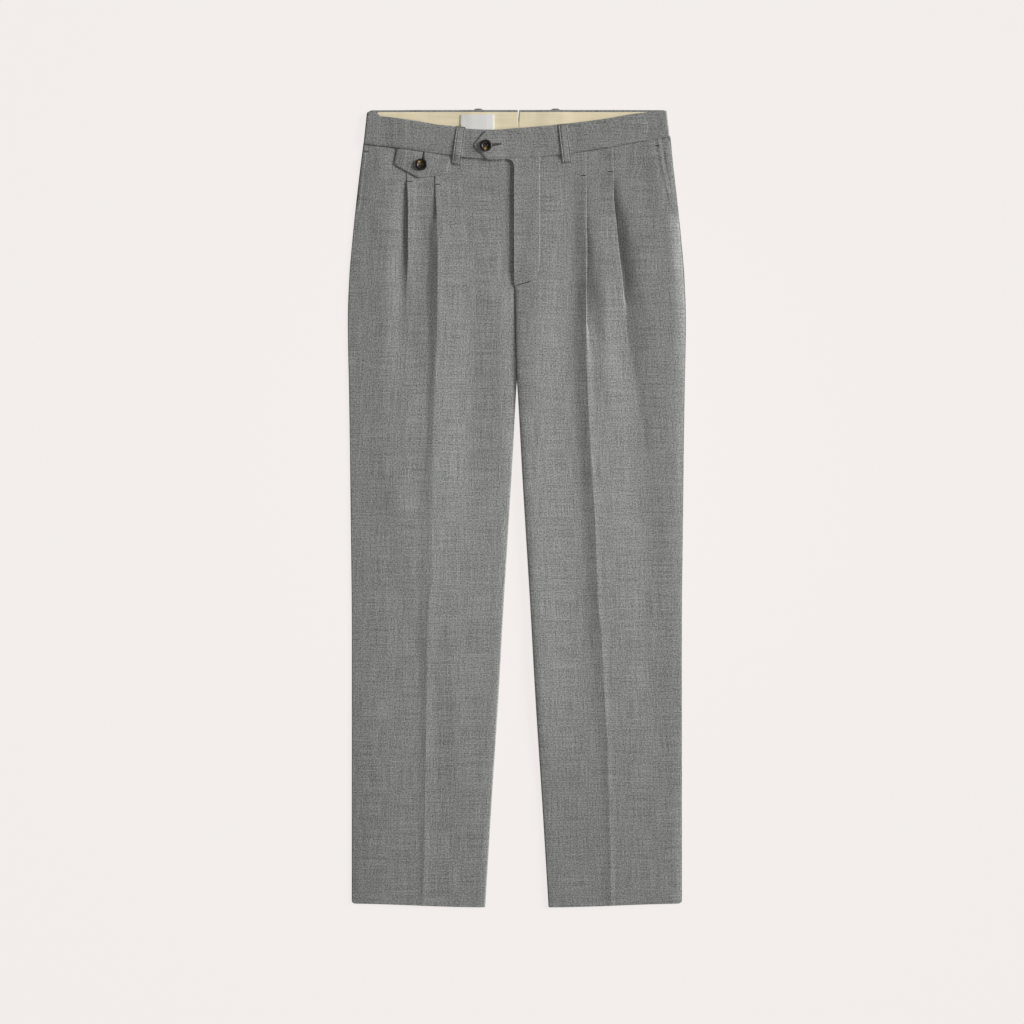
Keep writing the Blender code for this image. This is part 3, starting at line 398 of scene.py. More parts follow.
# Belt loops: the four corners, as x and drop
LOOP_FRONT = {
    LEFT: ((55.8, 19.7), (67.1, 18.9), (73.7, 70.5), (62.2, 71.3)),
    RIGHT: ((-80.9, 22.3), (-69.5, 23.5), (-76.3, 74.4), (-87.6, 72.6)),
}
LOOP_BULGE = 0.4  # how far a front loop stands off between its ends
LOOP_CLEAR = 0.1
LOOP_CROWN = 0.15
LOOP_STEP = 14.0  # length over which it comes down from the waistband to the panel
LOOP_LEAD = 4.0  # and how far above the seam that begins
LOOP_LINES = (0.14, 0.87)  # lines of edge stitching, as shares of the width
LOOP_GROOVE = 0.4
LOOP_GROOVE_WIDTH = 0.05
LOOP_COLUMNS = (30, *((place, 0.06, 3.0) for place in LOOP_LINES))
LOOP_ROWS = (60, (0.0, 0.04, 2.0), (1.0, 0.04, 2.0))
LOOP_STITCH_ENDS = 72
LOOP_STITCH_PART = (0.02, 0.98)  # shares of the length that the line of stitches runs between
LOOP_TACK_ROWS = (2, -4)  # rows of the loop's grid that its bar tacks lie on
LOOP_TACK_WIDTH = 0.9
LOOP_TACK_STRANDS = 30
LOOP_BACK_X = 52.0
LOOP_BACK_WIDTH = 12.0
LOOP_BACK_END = 52.0
LOOP_BACK_INSET = 0.3
LOOP_BACK_ROUND = 1.6  # how far its upper corners are rounded off
LOOP_BACK_COLUMNS = 17
LOOP_MARGIN = 1.0
LOOP_COVER_SLOPE = 22.0

# Watch-pocket flap: upper corners, then its lower outline, as x and drop
FLAP_TOP = (-160.8, -89.2)
FLAP_EDGE = (
    (-165.4, 71.6), (-162.6, 75.2), (-134.6, 90.2), (-130.6, 90.9), (-97.8, 86.4), (-94.6, 84.9),
    (-93.4, 81.6),
)
FLAP_LEVEL = ((-166.0, 0.45), (-150.0, 1.0), (-92.0, 1.0), (-88.0, 0.95))  # x, share of STITCHED_PLEAT
FLAP_TUCK = 1.0  # how far it runs up under the waistband
FLAP_INSIDE = 9.0  # distance from its edge at which its face is level

# Lining and label
LINING_TOP = 3.0
LINING_INSET = 0.6
LINING_END = 34.0
LINING_REACH = 188.0
LINING_ROWS = 33
LABEL_GRID = (31, 61)
LABEL_MARGIN = 4.0
LABEL_SLOPE = 14.0

# Buttonholes: the end at the button, the far end, as x and drop
BUTTONHOLE_WAIST = ((-34.5, 47.6), (-20.9, 45.9))
BUTTONHOLE_FLAP = ((-126.6, 67.6), (-125.0, 56.3))
SLIT_DEPTH = 0.5
SLIT_WIDTH = 0.35
SLIT_OPENING = 0.85  # how much wider it is at the button
SLIT_TAPER = 1.5  # power by which it closes
SLIT_PART = (0.0, 0.96, 0.06)  # shares of its length that it runs between, and how it fades

# Buttons. Their outline: how far round, radius and height as shares of its own
BUTTON_OUTLINE = (
    (0.0, 0.02, 0.60), (0.30, 0.44, 0.62), (0.40, 0.56, 0.70), (0.50, 0.70, 0.96), (0.56, 0.80, 1.0),
    (0.64, 0.92, 0.92), (0.70, 0.985, 0.74), (0.76, 1.0, 0.60), (0.82, 0.97, 0.36), (0.90, 0.72, 0.08),
    (0.95, 0.50, 0.0), (1.0, 0.02, 0.0),
)
BUTTON_TOP = 0.5  # share of the outline that is on top
BUTTON_STAND = 0.1  # length of the thread between a button and the cloth
HOLE_PLACE = 1.8
HOLE_RADIUS = 0.85
HOLE_EDGE = 1.15  # where a hole's wall begins and its run, as shares of the radius
HOLE_WALL = 0.4
HOLE_DEPTH = 0.5  # as a share of the button's height
STRAND_SPACING = 0.28
STRAND_LEVEL = 0.56  # height of the strands on the button, as a share of its own
# Where the amber flares lie from each button's middle: x, and down the garment
BUTTON_FLARE = {"button_waist": (-0.6, 3.6), "button_flap": (-2.2, -2.2)}

# Yarns: size across and onward in millimetres, detail, shift, weight
WORSTED_YARNS = (
    (1.35, 46.0, 1.0, 0.0, 0.62), (46.0, 1.35, 1.0, 7.3, 0.62), (1.9, 1.9, 0.0, 3.1, 1.1),
    (90.0, 7.0, 0.0, 1.7, 0.1), (7.0, 90.0, 0.0, 5.2, 0.1),
)
LINING_YARNS = ((60.0, 1.1, 1.0, 0.0, 0.8), (0.9, 20.0, 1.0, 4.0, 0.35), (30.0, 18.0, 0.0, 9.0, 0.5))
LABEL_YARNS = ((0.8, 30.0, 1.0, 0.0, 0.6), (40.0, 0.7, 1.0, 5.0, 0.4))
TWILL_PITCH = 0.85
SHEEN_ROUGHNESS = 0.45
TRIM_SHEEN = 0.1
TRIM_LIGHT = 1.1  # lightest tone of the lining and the label
# Finish of the lining and the label: roughness, specular level, darkest tone, depth of the bump, yarns
LINING_FINISH = (0.6, 0.3, 0.86, 0.1, LINING_YARNS)
LABEL_FINISH = (0.5, 0.35, 0.88, 0.08, LABEL_YARNS)
# Amber flare of the horn: stretch, turn, radius in metres, strength, and the glow at its edge and inside
FLARE_STRETCH = (1.0, 0.62, 0.4)
FLARE_TURN = 0.5
FLARE_RADIUS = 0.0042
FLARE_PEAK = 0.62
FLARE_EDGE = (0.72, 1.02)

# Stage, in metres
FLOOR_SIZE = 12.0
FLOOR_DROP = 0.0002
FLOOR_GLOW = 0.92  # share of the floor's light that is its own
FLOOR_GRAIN = 0.005
KEY_FROM = (0.92, 0.22, 0.344)  # where the key light comes from
TOP_SIZE = 0.5
TOP_PLACE = (0.05, 0.06, 0.6)
SENSOR = 36.0  # width of the camera's sensor in millimetres
VIEW_MIDDLE = (-0.0066, -0.0057)  # where the camera stands, x and y


def box_mm(name):
    """Lowest and highest corner of a CAD node in garment terms: x, drop and height in millimetres."""
    low, high = (np.array(corner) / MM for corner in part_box(name))
    low[1], high[1] = MIDDLE_DROP - high[1], MIDDLE_DROP - low[1]
    return low, high


LABEL_LOW, LABEL_HIGH = box_mm("label")


# Curves and noise


def smooth(value):
    """0 below 0, 1 above 1, and an even S between."""
    value = np.clip(value, 0.0, 1.0)
    return value * value * (3.0 - 2.0 * value)


def shelf(value, start, end, run):
    """1 between start and end, coming down to 0 over a run outside each."""
    return smooth((value - start + run) / run) * smooth((end + run - value) / run)


def ridge(distance, width):
    """A bell curve: 1 on the line and about a third at the width."""
    return np.exp(-((distance / width) ** 2))


def at_edge(distance, height, width):
    """A height at an edge that dies away over a width; below 0 the edge turns down."""
    return height * np.exp(-np.maximum(distance, 0.0) / width)


def line(distance, place, width, height):
    """A raised line at a place, or a groove where its height is below 0."""
    return height * ridge(distance - place, width)


def rounded(past, radius):
    """How far a quarter circle has drawn in, past running from 0 at its start to 1 at its end."""
    return radius * (1.0 - np.sqrt(1.0 - np.clip(past, 0.0, 1.0) ** 2))


def along(rows, place):
    """Reads a table's later columns at a place in its first, on cubic pieces that never overshoot.

    The slope at a row is the harmonic mean of those on its two sides, or 0 where the values turn back.
    """
    table = np.array(rows, dtype=float)
    known, values = table[:, 0], table[:, 1:]
    step = np.diff(known)[:, None]
    rise = np.diff(values, axis=0) / step
    product = rise[:-1] * rise[1:]
    steady = product > 0.0
    tangent = np.vstack([rise[:1], np.zeros_like(product), rise[-1:]])
    tangent[1:-1][steady] = 2.0 * product[steady] / (rise[:-1] + rise[1:])[steady]
    place = np.clip(np.asarray(place, dtype=float), known[0], known[-1])
    span = np.clip(np.searchsorted(known, place, side="right") - 1, 0, len(known) - 2)
    length = step[span]
    part = (place - known[span])[..., None] / length
    rest = 1.0 - part
    curve = (
        (1.0 + 2.0 * part) * rest**2 * values[span]
        + part * rest**2 * length * tangent[span]
        + part**2 * (3.0 - 2.0 * part) * values[span + 1]
        - part**2 * rest * length * tangent[span + 1]
    )
    return np.moveaxis(curve, -1, 0)


def noise(x, y, cell_x, cell_y, seed):
    """Smooth noise from -1 to 1: random values at the corners of a grid of cells, blended across each."""
    values = np.random.default_rng(seed).uniform(-1.0, 1.0, (NOISE_SIZE, NOISE_SIZE))
    column, row = np.asarray(x) / cell_x, np.asarray(y) / cell_y
    i, j = np.floor(column).astype(int), np.floor(row).astype(int)
    a, b = smooth(column - i), smooth(row - j)
    near, far = (
        values[(i + di) % NOISE_SIZE, j % NOISE_SIZE] * (1.0 - b)
        + values[(i + di) % NOISE_SIZE, (j + 1) % NOISE_SIZE] * b
        for di in (0, 1)
    )
    return near * (1.0 - a) + far * a


def ripples(x, drop, rows):
    """Height of several layers of noise."""
    return sum(height * noise(x, drop, across, down, seed) for height, across, down, seed in rows)


def pucker(distance, x, y, height, width, cell_x, cell_y, seed):
    """Height of noise that dies away from an edge."""
    return height * ridge(distance, width) * noise(x, y, cell_x, cell_y, seed)


def graded(count, *focus):
    """count + 1 shares from 0 to 1, closer together round each focus: its share, half width and gain."""
    fine = np.linspace(0.0, 1.0, GRADED_STEPS)
    density = np.ones_like(fine)
    for middle, width, gain in focus:
        density += gain * ridge(fine - middle, width)
    total = np.concatenate([[0.0], np.cumsum((density[1:] + density[:-1]) / 2.0)])
    return np.interp(np.linspace(0.0, total[-1], count + 1), total, fine)


def spread(start, end, shares):
    """Places at the same shares of the way from start to end in every row."""
    return start[:, None] + (end - start)[:, None] * shares


def offset_from(path, x, drop):
    """Distance from a line of straight stretches, positive to the wearer's right of it as it runs down."""
    nearest = np.full(np.broadcast(x, drop).shape, np.inf)
    signed = np.zeros_like(nearest)
    for (x0, d0), (x1, d1) in zip(path[:-1], path[1:]):
        length = math.hypot(x1 - x0, d1 - d0)
        part = np.clip(((x - x0) * (x1 - x0) + (drop - d0) * (d1 - d0)) / length**2, 0.0, 1.0)
        away = np.hypot(x - x0 - part * (x1 - x0), drop - d0 - part * (d1 - d0))
        side = np.sign((x1 - x0) * (drop - d0) - (d1 - d0) * (x - x0))
        closer = away < nearest
        nearest = np.where(closer, away, nearest)
        signed = np.where(closer, away * side, signed)
    return signed


def lengths(path):
    """How far each point of a line of straight stretches lies along it: the sum of the stretches so far."""
    return np.concatenate([[0.0], np.cumsum(np.hypot(*np.diff(path, axis=0).T))])


def walk(path, spacing, start=0.0):
    """Places and directions along a line of straight stretches, evenly spaced, leaving out its start."""
    path = np.array(path, dtype=float)
    length = lengths(path)
    place = np.linspace(start, length[-1], int(round((length[-1] - start) / spacing)) + 1)
    points = np.column_stack([np.interp(place, length, path[:, i]) for i in (0, 1)])
    heading = np.gradient(points, axis=0)
    return points, heading / np.hypot(*heading.T)[:, None]


# Outlines and heights of the garment


def side_reach(drop):
    """Distance of the side seam from the centre line."""
    return along(SIDE_SEAM, drop)[0]


def hem_corner(row):
    """How far the last rows draw in to round the hem's outer corner."""
    return rounded((row - HEM_INNER + HEM_CORNER) / HEM_CORNER, HEM_CORNER)


def hem_slant(reach, row):
    """How far a point of a row moves because the hem slants."""
    inner, outer = INSEAM[-1][1], SIDE_SEAM[-1][1]
    slant = (HEM_OUTER - HEM_INNER) * smooth((reach - inner) / (outer - inner))
    return slant * (1.0 - smooth((HEM_INNER - row) / SEAM_CURVE))


def notch(drop):
    """Half the width of the notch at the centre back."""
    return NOTCH_HALF * np.maximum(0.0, 1.0 - drop / NOTCH_DEPTH)


def beside_pocket(drop):
    """1 down to the end of the pocket facings, then 0."""
    return 1.0 - smooth((drop - FACING_END) / FACING_SLOPE)


def inner_reach(side, drop):
    """Distance of a front panel's inner edge from the centre line: fly edge, centre seam, then inseam."""
    fly = along(FLY_EDGE[side], drop)[0]
    inseam = along(INSEAM, drop)[0]
    return np.where(np.asarray(drop) < CROTCH, fly, inseam)


def outer_reach(side, drop):
    """Distance of a front panel's outer edge: the pocket opening, then the side seam."""
    seam = side_reach(drop) - SIDE_INSET[side]
    opening = along(OPENING[side], drop)[0]
    return np.where(np.asarray(drop) < OPENING[side][-1][0], np.minimum(opening, seam), seam)


def waist_top(side, x):
    """Drop of a waistband half's top edge."""
    table = np.array(BAND[side])
    return np.interp(x, table[:, 0], table[:, 1])


def waist_seam(side, x):
    """Drop of the seam between a waistband half and its front panel."""
    table = np.array(BAND[side])
    return np.interp(x, table[:, 0], table[:, 2])


def back_seam(side, reach):
    """Drop of the seam between a waistband half and its back panel."""
    at_side = waist_seam(side, side * (float(side_reach(BACK_SEAM)) - FOLD_ROOM))
    start, end = BACK_SEAM_BEND
    return BACK_SEAM + (at_side - BACK_SEAM) * smooth((np.asarray(reach) - start) / (end - start))


def loop_cover(x, drop):
    """Height that the cloth gains where it lies on a back belt loop."""
    half = LOOP_BACK_WIDTH / 2 + LOOP_MARGIN
    across = shelf(np.abs(x), LOOP_BACK_X - half, LOOP_BACK_X + half, LOOP_COVER_SLOPE)
    down = 1.0 - smooth((drop - LOOP_BACK_END - LOOP_MARGIN) / LOOP_COVER_SLOPE)
    return (BACK_LOOP_LAYER + GAP / 2) * across * down


def soft_folds(side, reach, drop):
    """Height of the broad folds that run down a leg."""
    height = np.zeros(np.broadcast(reach, drop).shape)
    for of_side, top, top_reach, end, end_reach, width, rise in SOFT_FOLDS:
        if of_side == side:
            part = (drop - top) / (end - top)
            middle = top_reach + (end_reach - top_reach) * np.clip(part, 0.0, 1.0)
            ends = shelf(part, SOFT_FOLD_FADE, 1.0 - SOFT_FOLD_FADE, 2 * SOFT_FOLD_FADE)
            height = height + rise * ends * ridge(reach - middle, width)
    return height


def roll(distance, width, share):
    """0 at an edge, 1 beyond the width, on parabolas: a share in a steep one, the rest in a slow one."""
    steep, slow = (1.0 - (1.0 - np.clip(distance / run, 0.0, 1.0)) ** 2 for run in (STEEP_ROLL, width))
    return share * steep + (1.0 - share) * slow


def edge_rolls(side, reach, drop):
    """How much of its height a front panel keeps next to its inseam, side seam and pocket opening."""
    below_crotch = smooth((drop - CROTCH + CROTCH_FADE / 2) / CROTCH_FADE)
    inner = roll(reach - along(INSEAM, drop)[0], INNER_ROLL[side], INNER_STEEP[side])
    outer = roll(outer_reach(side, drop) - reach, OUTER_ROLL[side], OUTER_STEEP[side])
    outer = outer + (1.0 - outer) * OPENING_OPEN[side] * beside_pocket(drop)
    return (1.0 - below_crotch * (1.0 - inner)) * outer


def resting_height(side, reach, drop):
    """Height of a front panel's middle surface, without its pleats and its sewing."""
    x = side * reach
    past = drop - waist_seam(side, x)
    body = edge_rolls(side, reach, drop)
    height = BACK_WALL + GAP + FRONT_WALL / 2
    height = height + (PUFF + soft_folds(side, reach, drop)) * body * smooth(past / PUFF_START)
    height = height + WAIST_RISE * (1.0 - smooth(past / WAIST_RISE_LENGTH)) * body
    over_facing = smooth((reach - side_reach(drop) + FACING_WIDTH + FACING_SLOPE) / FACING_SLOPE)
    height = height + (FACING_LAYER + GAP) * over_facing * beside_pocket(drop)
    if side == LEFT:
        over_fly = 1.0 - smooth((x - FLY_WIDTH) / FLY_FALL)
        above_foot = 1.0 - smooth((drop - FLY_FOOT + FLY_SINK) / FLY_SETTLE)
        height = height + FLY_LIFT * over_fly * above_foot
    return height + loop_cover(x, drop)


def level_seam(side, x):
    """1 where the waist seam lies level, between the right belt loop and the fly, and 0 elsewhere."""
    return shelf(x, *LEVEL_SEAM) if side == RIGHT else 0.0 * x


def relief(side, reach, drop):
    """Height that sewing and handling give a front panel: ripples, seam grooves and pressed marks."""
    x = side * reach
    to_side = outer_reach(side, drop) - reach
    to_inner = reach - inner_reach(side, drop)
    below_fly = smooth((drop - FLY_FOOT + SEAM_EASE) / SEAM_EASE)
    closed = below_fly * (1.0 - smooth((drop - CROTCH) / SEAM_EASE))
    height = ripples(x, drop, FRONT_RIPPLES) + pucker(to_side, drop, x, *SIDE_PUCKER)
    height = height + pucker(to_inner, drop, x, *INNER_PUCKER) * below_fly
    height = height + at_edge(to_inner, *CENTRE_SEAM_TURN[side]) * closed
    opening = line(to_side, *OPENING_RIM, OPENING_EDGE[side]) + line(to_side, *OPENING_GROOVE)
    height = height + opening * beside_pocket(drop)
    past_turn_up = drop - (along(HEM_LINE, reach)[0] - HEM_TURN)
    height = height + HEM_STEP * smooth(past_turn_up / HEM_STEP_RUN) + line(past_turn_up, *HEM_GROOVE)
    past_waist = drop - waist_seam(side, x)
    level = level_seam(side, x)
    height = height + at_edge(past_waist, *WAIST_SEAM_TURN) * (1.0 - level)
    height = height + at_edge(past_waist, *LEVEL_SEAM_STAND) * level
    if side == LEFT:
        inside = offset_from(FLY_STITCH, x, drop)
        step = FLY_STEP * smooth((inside + FLY_STEP_START) / FLY_STEP_RUN) + line(inside, *FLY_GROOVE)
        height = height + step * (1.0 - smooth((drop - FLY_FOOT) / FLY_STEP_FADE))
        above_foot = 1.0 - smooth((drop - FLY_FOOT + FLY_SINK) / FLY_SINK)
        height = height + at_edge(to_inner, *FLY_STAND) * above_foot
        height = height + line(x, *PRESSED_LINE) * shelf(drop, *PRESSED_LENGTH)
    return height


def slope(past, run, ease):
    """Height left after going down a slope: 1 at its top, falling evenly over the run, then easing out.

    It is the logarithm of 1 plus the exponential of what is left of the run, in units of the ease.
    """
    left = 1.0 - np.maximum(past, 0.0) / run
    return np.logaddexp(0.0, left / ease) / np.logaddexp(0.0, 1.0 / ease)


def pleat_shape(side, which, drop):
    """A pleat at one drop: reach and height where its bends begin and end, run and level beyond each."""
    edge, upper, turn, straight, lower, crest, keep, run, out, level = along(PLEATS[side][which], drop)
    turn = np.radians(turn)
    start = edge - upper / turn * np.sin(turn / 2)
    onward = (upper + lower) / turn * np.sin(turn) + straight * np.cos(turn)
    fall = (upper + lower) / turn * (1.0 - np.cos(turn)) + straight * np.sin(turn)
    inside = start + np.minimum(0.0, onward)
    return (inside, crest, run, keep), (start + onward, crest - fall, out, level)


def beyond_pleat(side, which, reach, drop):
    """Height of the cloth outside a pleat, from the end of its lower bend on.

    Cloth that comes down from the pleat does so evenly; cloth that rises from its foot does so ever less.
    """
    end, foot, run, level = pleat_shape(side, which, drop)[1]
    ease = np.where(foot < level, VALLEY_EASE, SLOPE_EASE)
    return level + (foot - level) * slope(reach - end, run, ease)


def behind_pleat(side, which, reach, drop):
    """Height of the cloth inside a pleat: level over what is folded under it, then coming down."""
    inside, crest, run, keep = pleat_shape(side, which, drop)[0]
    level = keep * smooth(reach / KEEP_FADE)
    height = level + (crest - level) * slope(inside - reach, run, SLOPE_EASE)
    if which == 1:
        first_end = pleat_shape(side, 0, drop)[1][0]
        height = height * smooth((reach - first_end + INNER_FADE_START) / INNER_FADE)
    return height


def resting_on_back(height):
    """Keeps a front panel's middle surface off the back panel: lower heights level out just above it.

    The height over the lowest is the logarithm of 1 plus its exponential, in units of the ease.
    """
    lowest = BACK_WALL + FRONT_WALL / 2 + GAP / 3
    return lowest + REST_EASE * np.logaddexp(0.0, (height - lowest) / REST_EASE)


def pleat_path(side, which, drop):
    """Sections of a pleat, one for each drop, from the start of its upper bend: reach and height.

    The cloth turns down through an arc, runs straight on or back, and turns level through a second arc.
    """
    table = along(PLEATS[side][which], drop)
    edge, upper, turn, straight, lower, crest = (value[:, None] for value in table[:6])
    turn = np.radians(turn)
    angle = turn * np.linspace(0.0, 1.0, FOLD_STEPS + 1)
    upper_radius, lower_radius = upper / turn, lower / turn
    first = np.stack([upper_radius * np.sin(angle), -upper_radius * (1.0 - np.cos(angle))], axis=-1)
    run = np.stack([straight * np.cos(turn), -straight * np.sin(turn)], axis=-1)
    left = turn - angle
    second = np.stack([np.sin(turn) - np.sin(left), np.cos(turn) - np.cos(left)], axis=-1)
    path = np.concatenate([first, first[:, -1:] + run + lower_radius[..., None] * second], axis=1)
    start = edge - upper_radius * np.sin(turn / 2)
    return path + np.stack([start, crest], axis=-1)


def fold_edge(side, which, drop):
    """Reach of the outermost point of a pleat's upper bend."""
    edge, upper, turn = along(PLEATS[side][which], drop)[:3]
    turn = np.radians(turn)
    return edge + upper / turn * (np.sin(np.minimum(turn, math.pi / 2)) - np.sin(turn / 2))


def front_face(side, x, drop):
    """Height of the upper face of a front panel, pleats and sewing included."""
    reach = side * x
    first, second = fold_edge(side, 0, drop), fold_edge(side, 1, drop)
    inside, beyond = behind_pleat(side, 1, reach, drop), beyond_pleat(side, 1, reach, drop)
    outer = np.where(reach < second, inside, beyond) + beyond_pleat(side, 0, reach, drop)
    pleats = np.where(reach < first, behind_pleat(side, 0, reach, drop), outer)
    pleats = pleats * edge_rolls(side, reach, drop)
    height = resting_height(side, reach, drop) + relief(side, reach, drop) + pleats
    return resting_on_back(height) + FRONT_WALL / 2


def true_drop(side, reach, row):
    """Drop of a point of a row: rows follow the waist seam at the top and the hem at the bottom."""
    slant = waist_seam(side, side * reach) - WAIST_TUCK - WAIST_ROW
    return row + slant * (1.0 - smooth((row - WAIST_ROW) / SEAM_CURVE)) + hem_slant(reach, row)


def front_band_height(side, x):
    """Height of the middle of the waistband where it lies on the front."""
    height = BAND_LAYER + GAP + LINING_LAYER + GAP + BAND_LAYER / 2
    over_label = shelf(x, LABEL_LOW[0] - LABEL_MARGIN, LABEL_HIGH[0] + LABEL_MARGIN, LABEL_SLOPE)
    height = height + (LABEL_LAYER + GAP) * over_label
    height = height + PLEAT_ZONE_LIFT * shelf(np.abs(x), *PLEAT_ZONE)
    if side == LEFT:
        start, end = TAB_SLOPE
        tab = (BAND_WALL + GAP) * (1.0 - smooth((x - start) / (end - start)))
        over_fly = FLY_LIFT * shelf(x, 0.0, FLY_WIDTH, FLY_WIDTH)
        height = height + np.maximum(tab, over_fly)
    return height


def slit(hole, x, drop):
    """Depth of a buttonhole: a slot that is pulled open at the button and closes towards its far end."""
    (x0, d0), (x1, d1) = hole
    length = math.hypot(x1 - x0, d1 - d0)
    part = ((x - x0) * (x1 - x0) + (drop - d0) * (d1 - d0)) / length**2
    across = ((x - x0) * (d1 - d0) - (drop - d0) * (x1 - x0)) / length
    width = SLIT_WIDTH + SLIT_OPENING * (1.0 - np.clip(part, 0.0, 1.0)) ** SLIT_TAPER
    return SLIT_DEPTH * ridge(across, width) * shelf(part, *SLIT_PART)


def band_sewing(side, x, drop):
    """Height that sewing gives the front of a waistband: turned edges, ripples and the buttonhole."""
    to_seam = waist_seam(side, x) - drop
    turn = 1.0 - (1.0 - LEVEL_SEAM_TURN) * level_seam(side, x)
    height = at_edge(drop - waist_top(side, x), *BAND_TURN) + at_edge(to_seam, *BAND_SEAM_TURN) * turn
    height = height + ripples(x, drop, BAND_RIPPLES) + pucker(to_seam, x, drop, *BAND_PUCKER)
    if side == LEFT:
        height = height + at_edge(x - BAND_END[LEFT], *BAND_TURN) - slit(BUTTONHOLE_WAIST, x, drop)
    return height


def band_face(side, x, drop):
    """Height of the upper face of the front of a waistband."""
    return front_band_height(side, x) + loop_cover(x, drop) + band_sewing(side, x, drop) + BAND_WALL / 2


def flap_middle(x, drop):
    """Height of the middle of the watch-pocket flap, which bridges the pleats."""
    level = along(FLAP_LEVEL, x)[0]
    return resting_height(RIGHT, -x, drop) + STITCHED_PLEAT * level + FRONT_WALL / 2 + GAP + FLAP_WALL / 2


def flap_sewing(x, drop, to_edge):
    """Height that sewing gives the flap: edges that turn down, a stitched line and the buttonhole."""
    height = at_edge(to_edge, *FLAP_TURN) + line(to_edge, *FLAP_GROOVE)
    height = height + at_edge(drop - waist_seam(RIGHT, x), *FLAP_SEAM_TURN)
    return height + ripples(x, drop, FLAP_RIPPLES) - slit(BUTTONHOLE_FLAP, x, drop)


def flap_face(x, drop):
    """Height of the flap's upper face, away from its edge."""
    return flap_middle(x, drop) + flap_sewing(x, drop, FLAP_INSIDE) + FLAP_WALL / 2


# Meshes


def unit(vectors):
    """Vectors of length 1."""
    return vectors / np.maximum(np.linalg.norm(vectors, axis=-1, keepdims=True), 1e-12)


def to_frame(points):
    """Garment terms, in millimetres, to the row frame, in metres."""
    return np.stack([points[..., 0], MIDDLE_DROP - points[..., 1], points[..., 2]], axis=-1) * MM


def put(name, data):
    """A new object in the scene."""
    made = bpy.data.objects.new(name, data)
    bpy.context.scene.collection.objects.link(made)
    return made


def new_piece(name, points, face_sets, material, uv):
    """An object at the origin from points, one array of faces for each number of corners, and a UV map."""
    mesh = bpy.data.meshes.new(name)
    loops = np.concatenate([faces.ravel() for faces in face_sets]).astype(np.int32)
    sizes = np.concatenate([np.full(len(faces), faces.shape[1]) for faces in face_sets])
    starts = np.concatenate([[0], np.cumsum(sizes)[:-1]]).astype(np.int32)
    mesh.vertices.add(len(points))
    mesh.vertices.foreach_set("co", points.astype(np.float32).ravel())
    mesh.loops.add(len(loops))
    mesh.loops.foreach_set("vertex_index", loops)
    mesh.polygons.add(len(starts))
    mesh.polygons.foreach_set("loop_start", starts)
    mesh.update(calc_edges=True)
    layer = mesh.uv_layers.new(name="Cloth")
    layer.data.foreach_set("uv", uv[loops].astype(np.float32).ravel())
    if mesh.validate():
        raise RuntimeError(f"{name} has faces that don't fit together")
    mesh.shade_smooth()
    mesh.materials.append(material)
    piece = put(name, mesh)
    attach(piece, "root")
    return piece


def quads(*corners):
    """Faces from four arrays of corner numbers."""
    return np.stack(corners, axis=-1).reshape(-1, 4)


def shell(name, grid, wall, material, anchor=0, shift=0.0):
    """A closed cloth wall round a grid of points on its middle surface.

    Its two faces lie half the wall away along the normals, the cross product of the grid's directions.
    Round the edge the wall turns over through a half circle. The UV map is the length along each row,
    counted from the anchor column, and the drop.
    """
    length = np.linalg.norm(np.diff(grid, axis=1), axis=-1)
    length = np.hstack([np.zeros((len(grid), 1)), np.cumsum(length, axis=1)])
    length = length - length[:, anchor : anchor + 1]
    if np.diff(grid[..., 0], axis=1)[:, :2].mean() < 0.0:
        grid, length = grid[:, ::-1], -length[:, ::-1]
    uv = np.stack([length + shift, -grid[..., 1]], axis=-1) * MM
    middle, half = to_frame(grid), wall * MM / 2
    down, across = unit(np.gradient(middle, axis=0)), unit(np.gradient(middle, axis=1))
    normal = unit(np.cross(down, across))
    outward = np.zeros_like(middle)
    outward[0] -= down[0]
    outward[-1] += down[-1]
    outward[:, 0] -= across[:, 0]
    outward[:, -1] += across[:, -1]

    rows, columns = middle.shape[:2]
    index = np.arange(rows * columns).reshape(rows, columns)
    edge = np.concatenate([index[0, :-1], index[:-1, -1], index[-1, :0:-1], index[:0:-1, 0]])
    flat_normal, flat_outward = normal.reshape(-1, 3)[edge], outward.reshape(-1, 3)[edge]
    inward_part = (flat_outward * flat_normal).sum(axis=1, keepdims=True)
    flat_outward = unit(flat_outward - flat_normal * inward_part)
    turns = math.pi * np.arange(1, RIM_STEPS)[:, None, None] / RIM_STEPS
    rim = middle.reshape(-1, 3)[edge] + half * (np.cos(turns) * flat_normal + np.sin(turns) * flat_outward)

    total = rows * columns
    faces = np.stack([middle + half * normal, middle - half * normal])
    points = np.concatenate([faces.reshape(-1, 3), rim.reshape(-1, 3)])
    upper = quads(index[:-1, :-1], index[1:, :-1], index[1:, 1:], index[:-1, 1:])
    rings = 2 * total + np.arange((RIM_STEPS - 1) * len(edge)).reshape(RIM_STEPS - 1, len(edge))
    rings = np.concatenate([edge[None], rings, edge[None] + total])
    onward = np.roll(rings, -1, axis=1)
    sides = quads(rings[:-1], onward[:-1], onward[1:], rings[1:])
    flat_uv = uv.reshape(-1, 2)
    uv = np.concatenate([flat_uv, flat_uv, np.tile(flat_uv[edge], (RIM_STEPS - 1, 1))])
    return new_piece(name, points, [upper, upper[:, ::-1] + total, sides], material, uv)


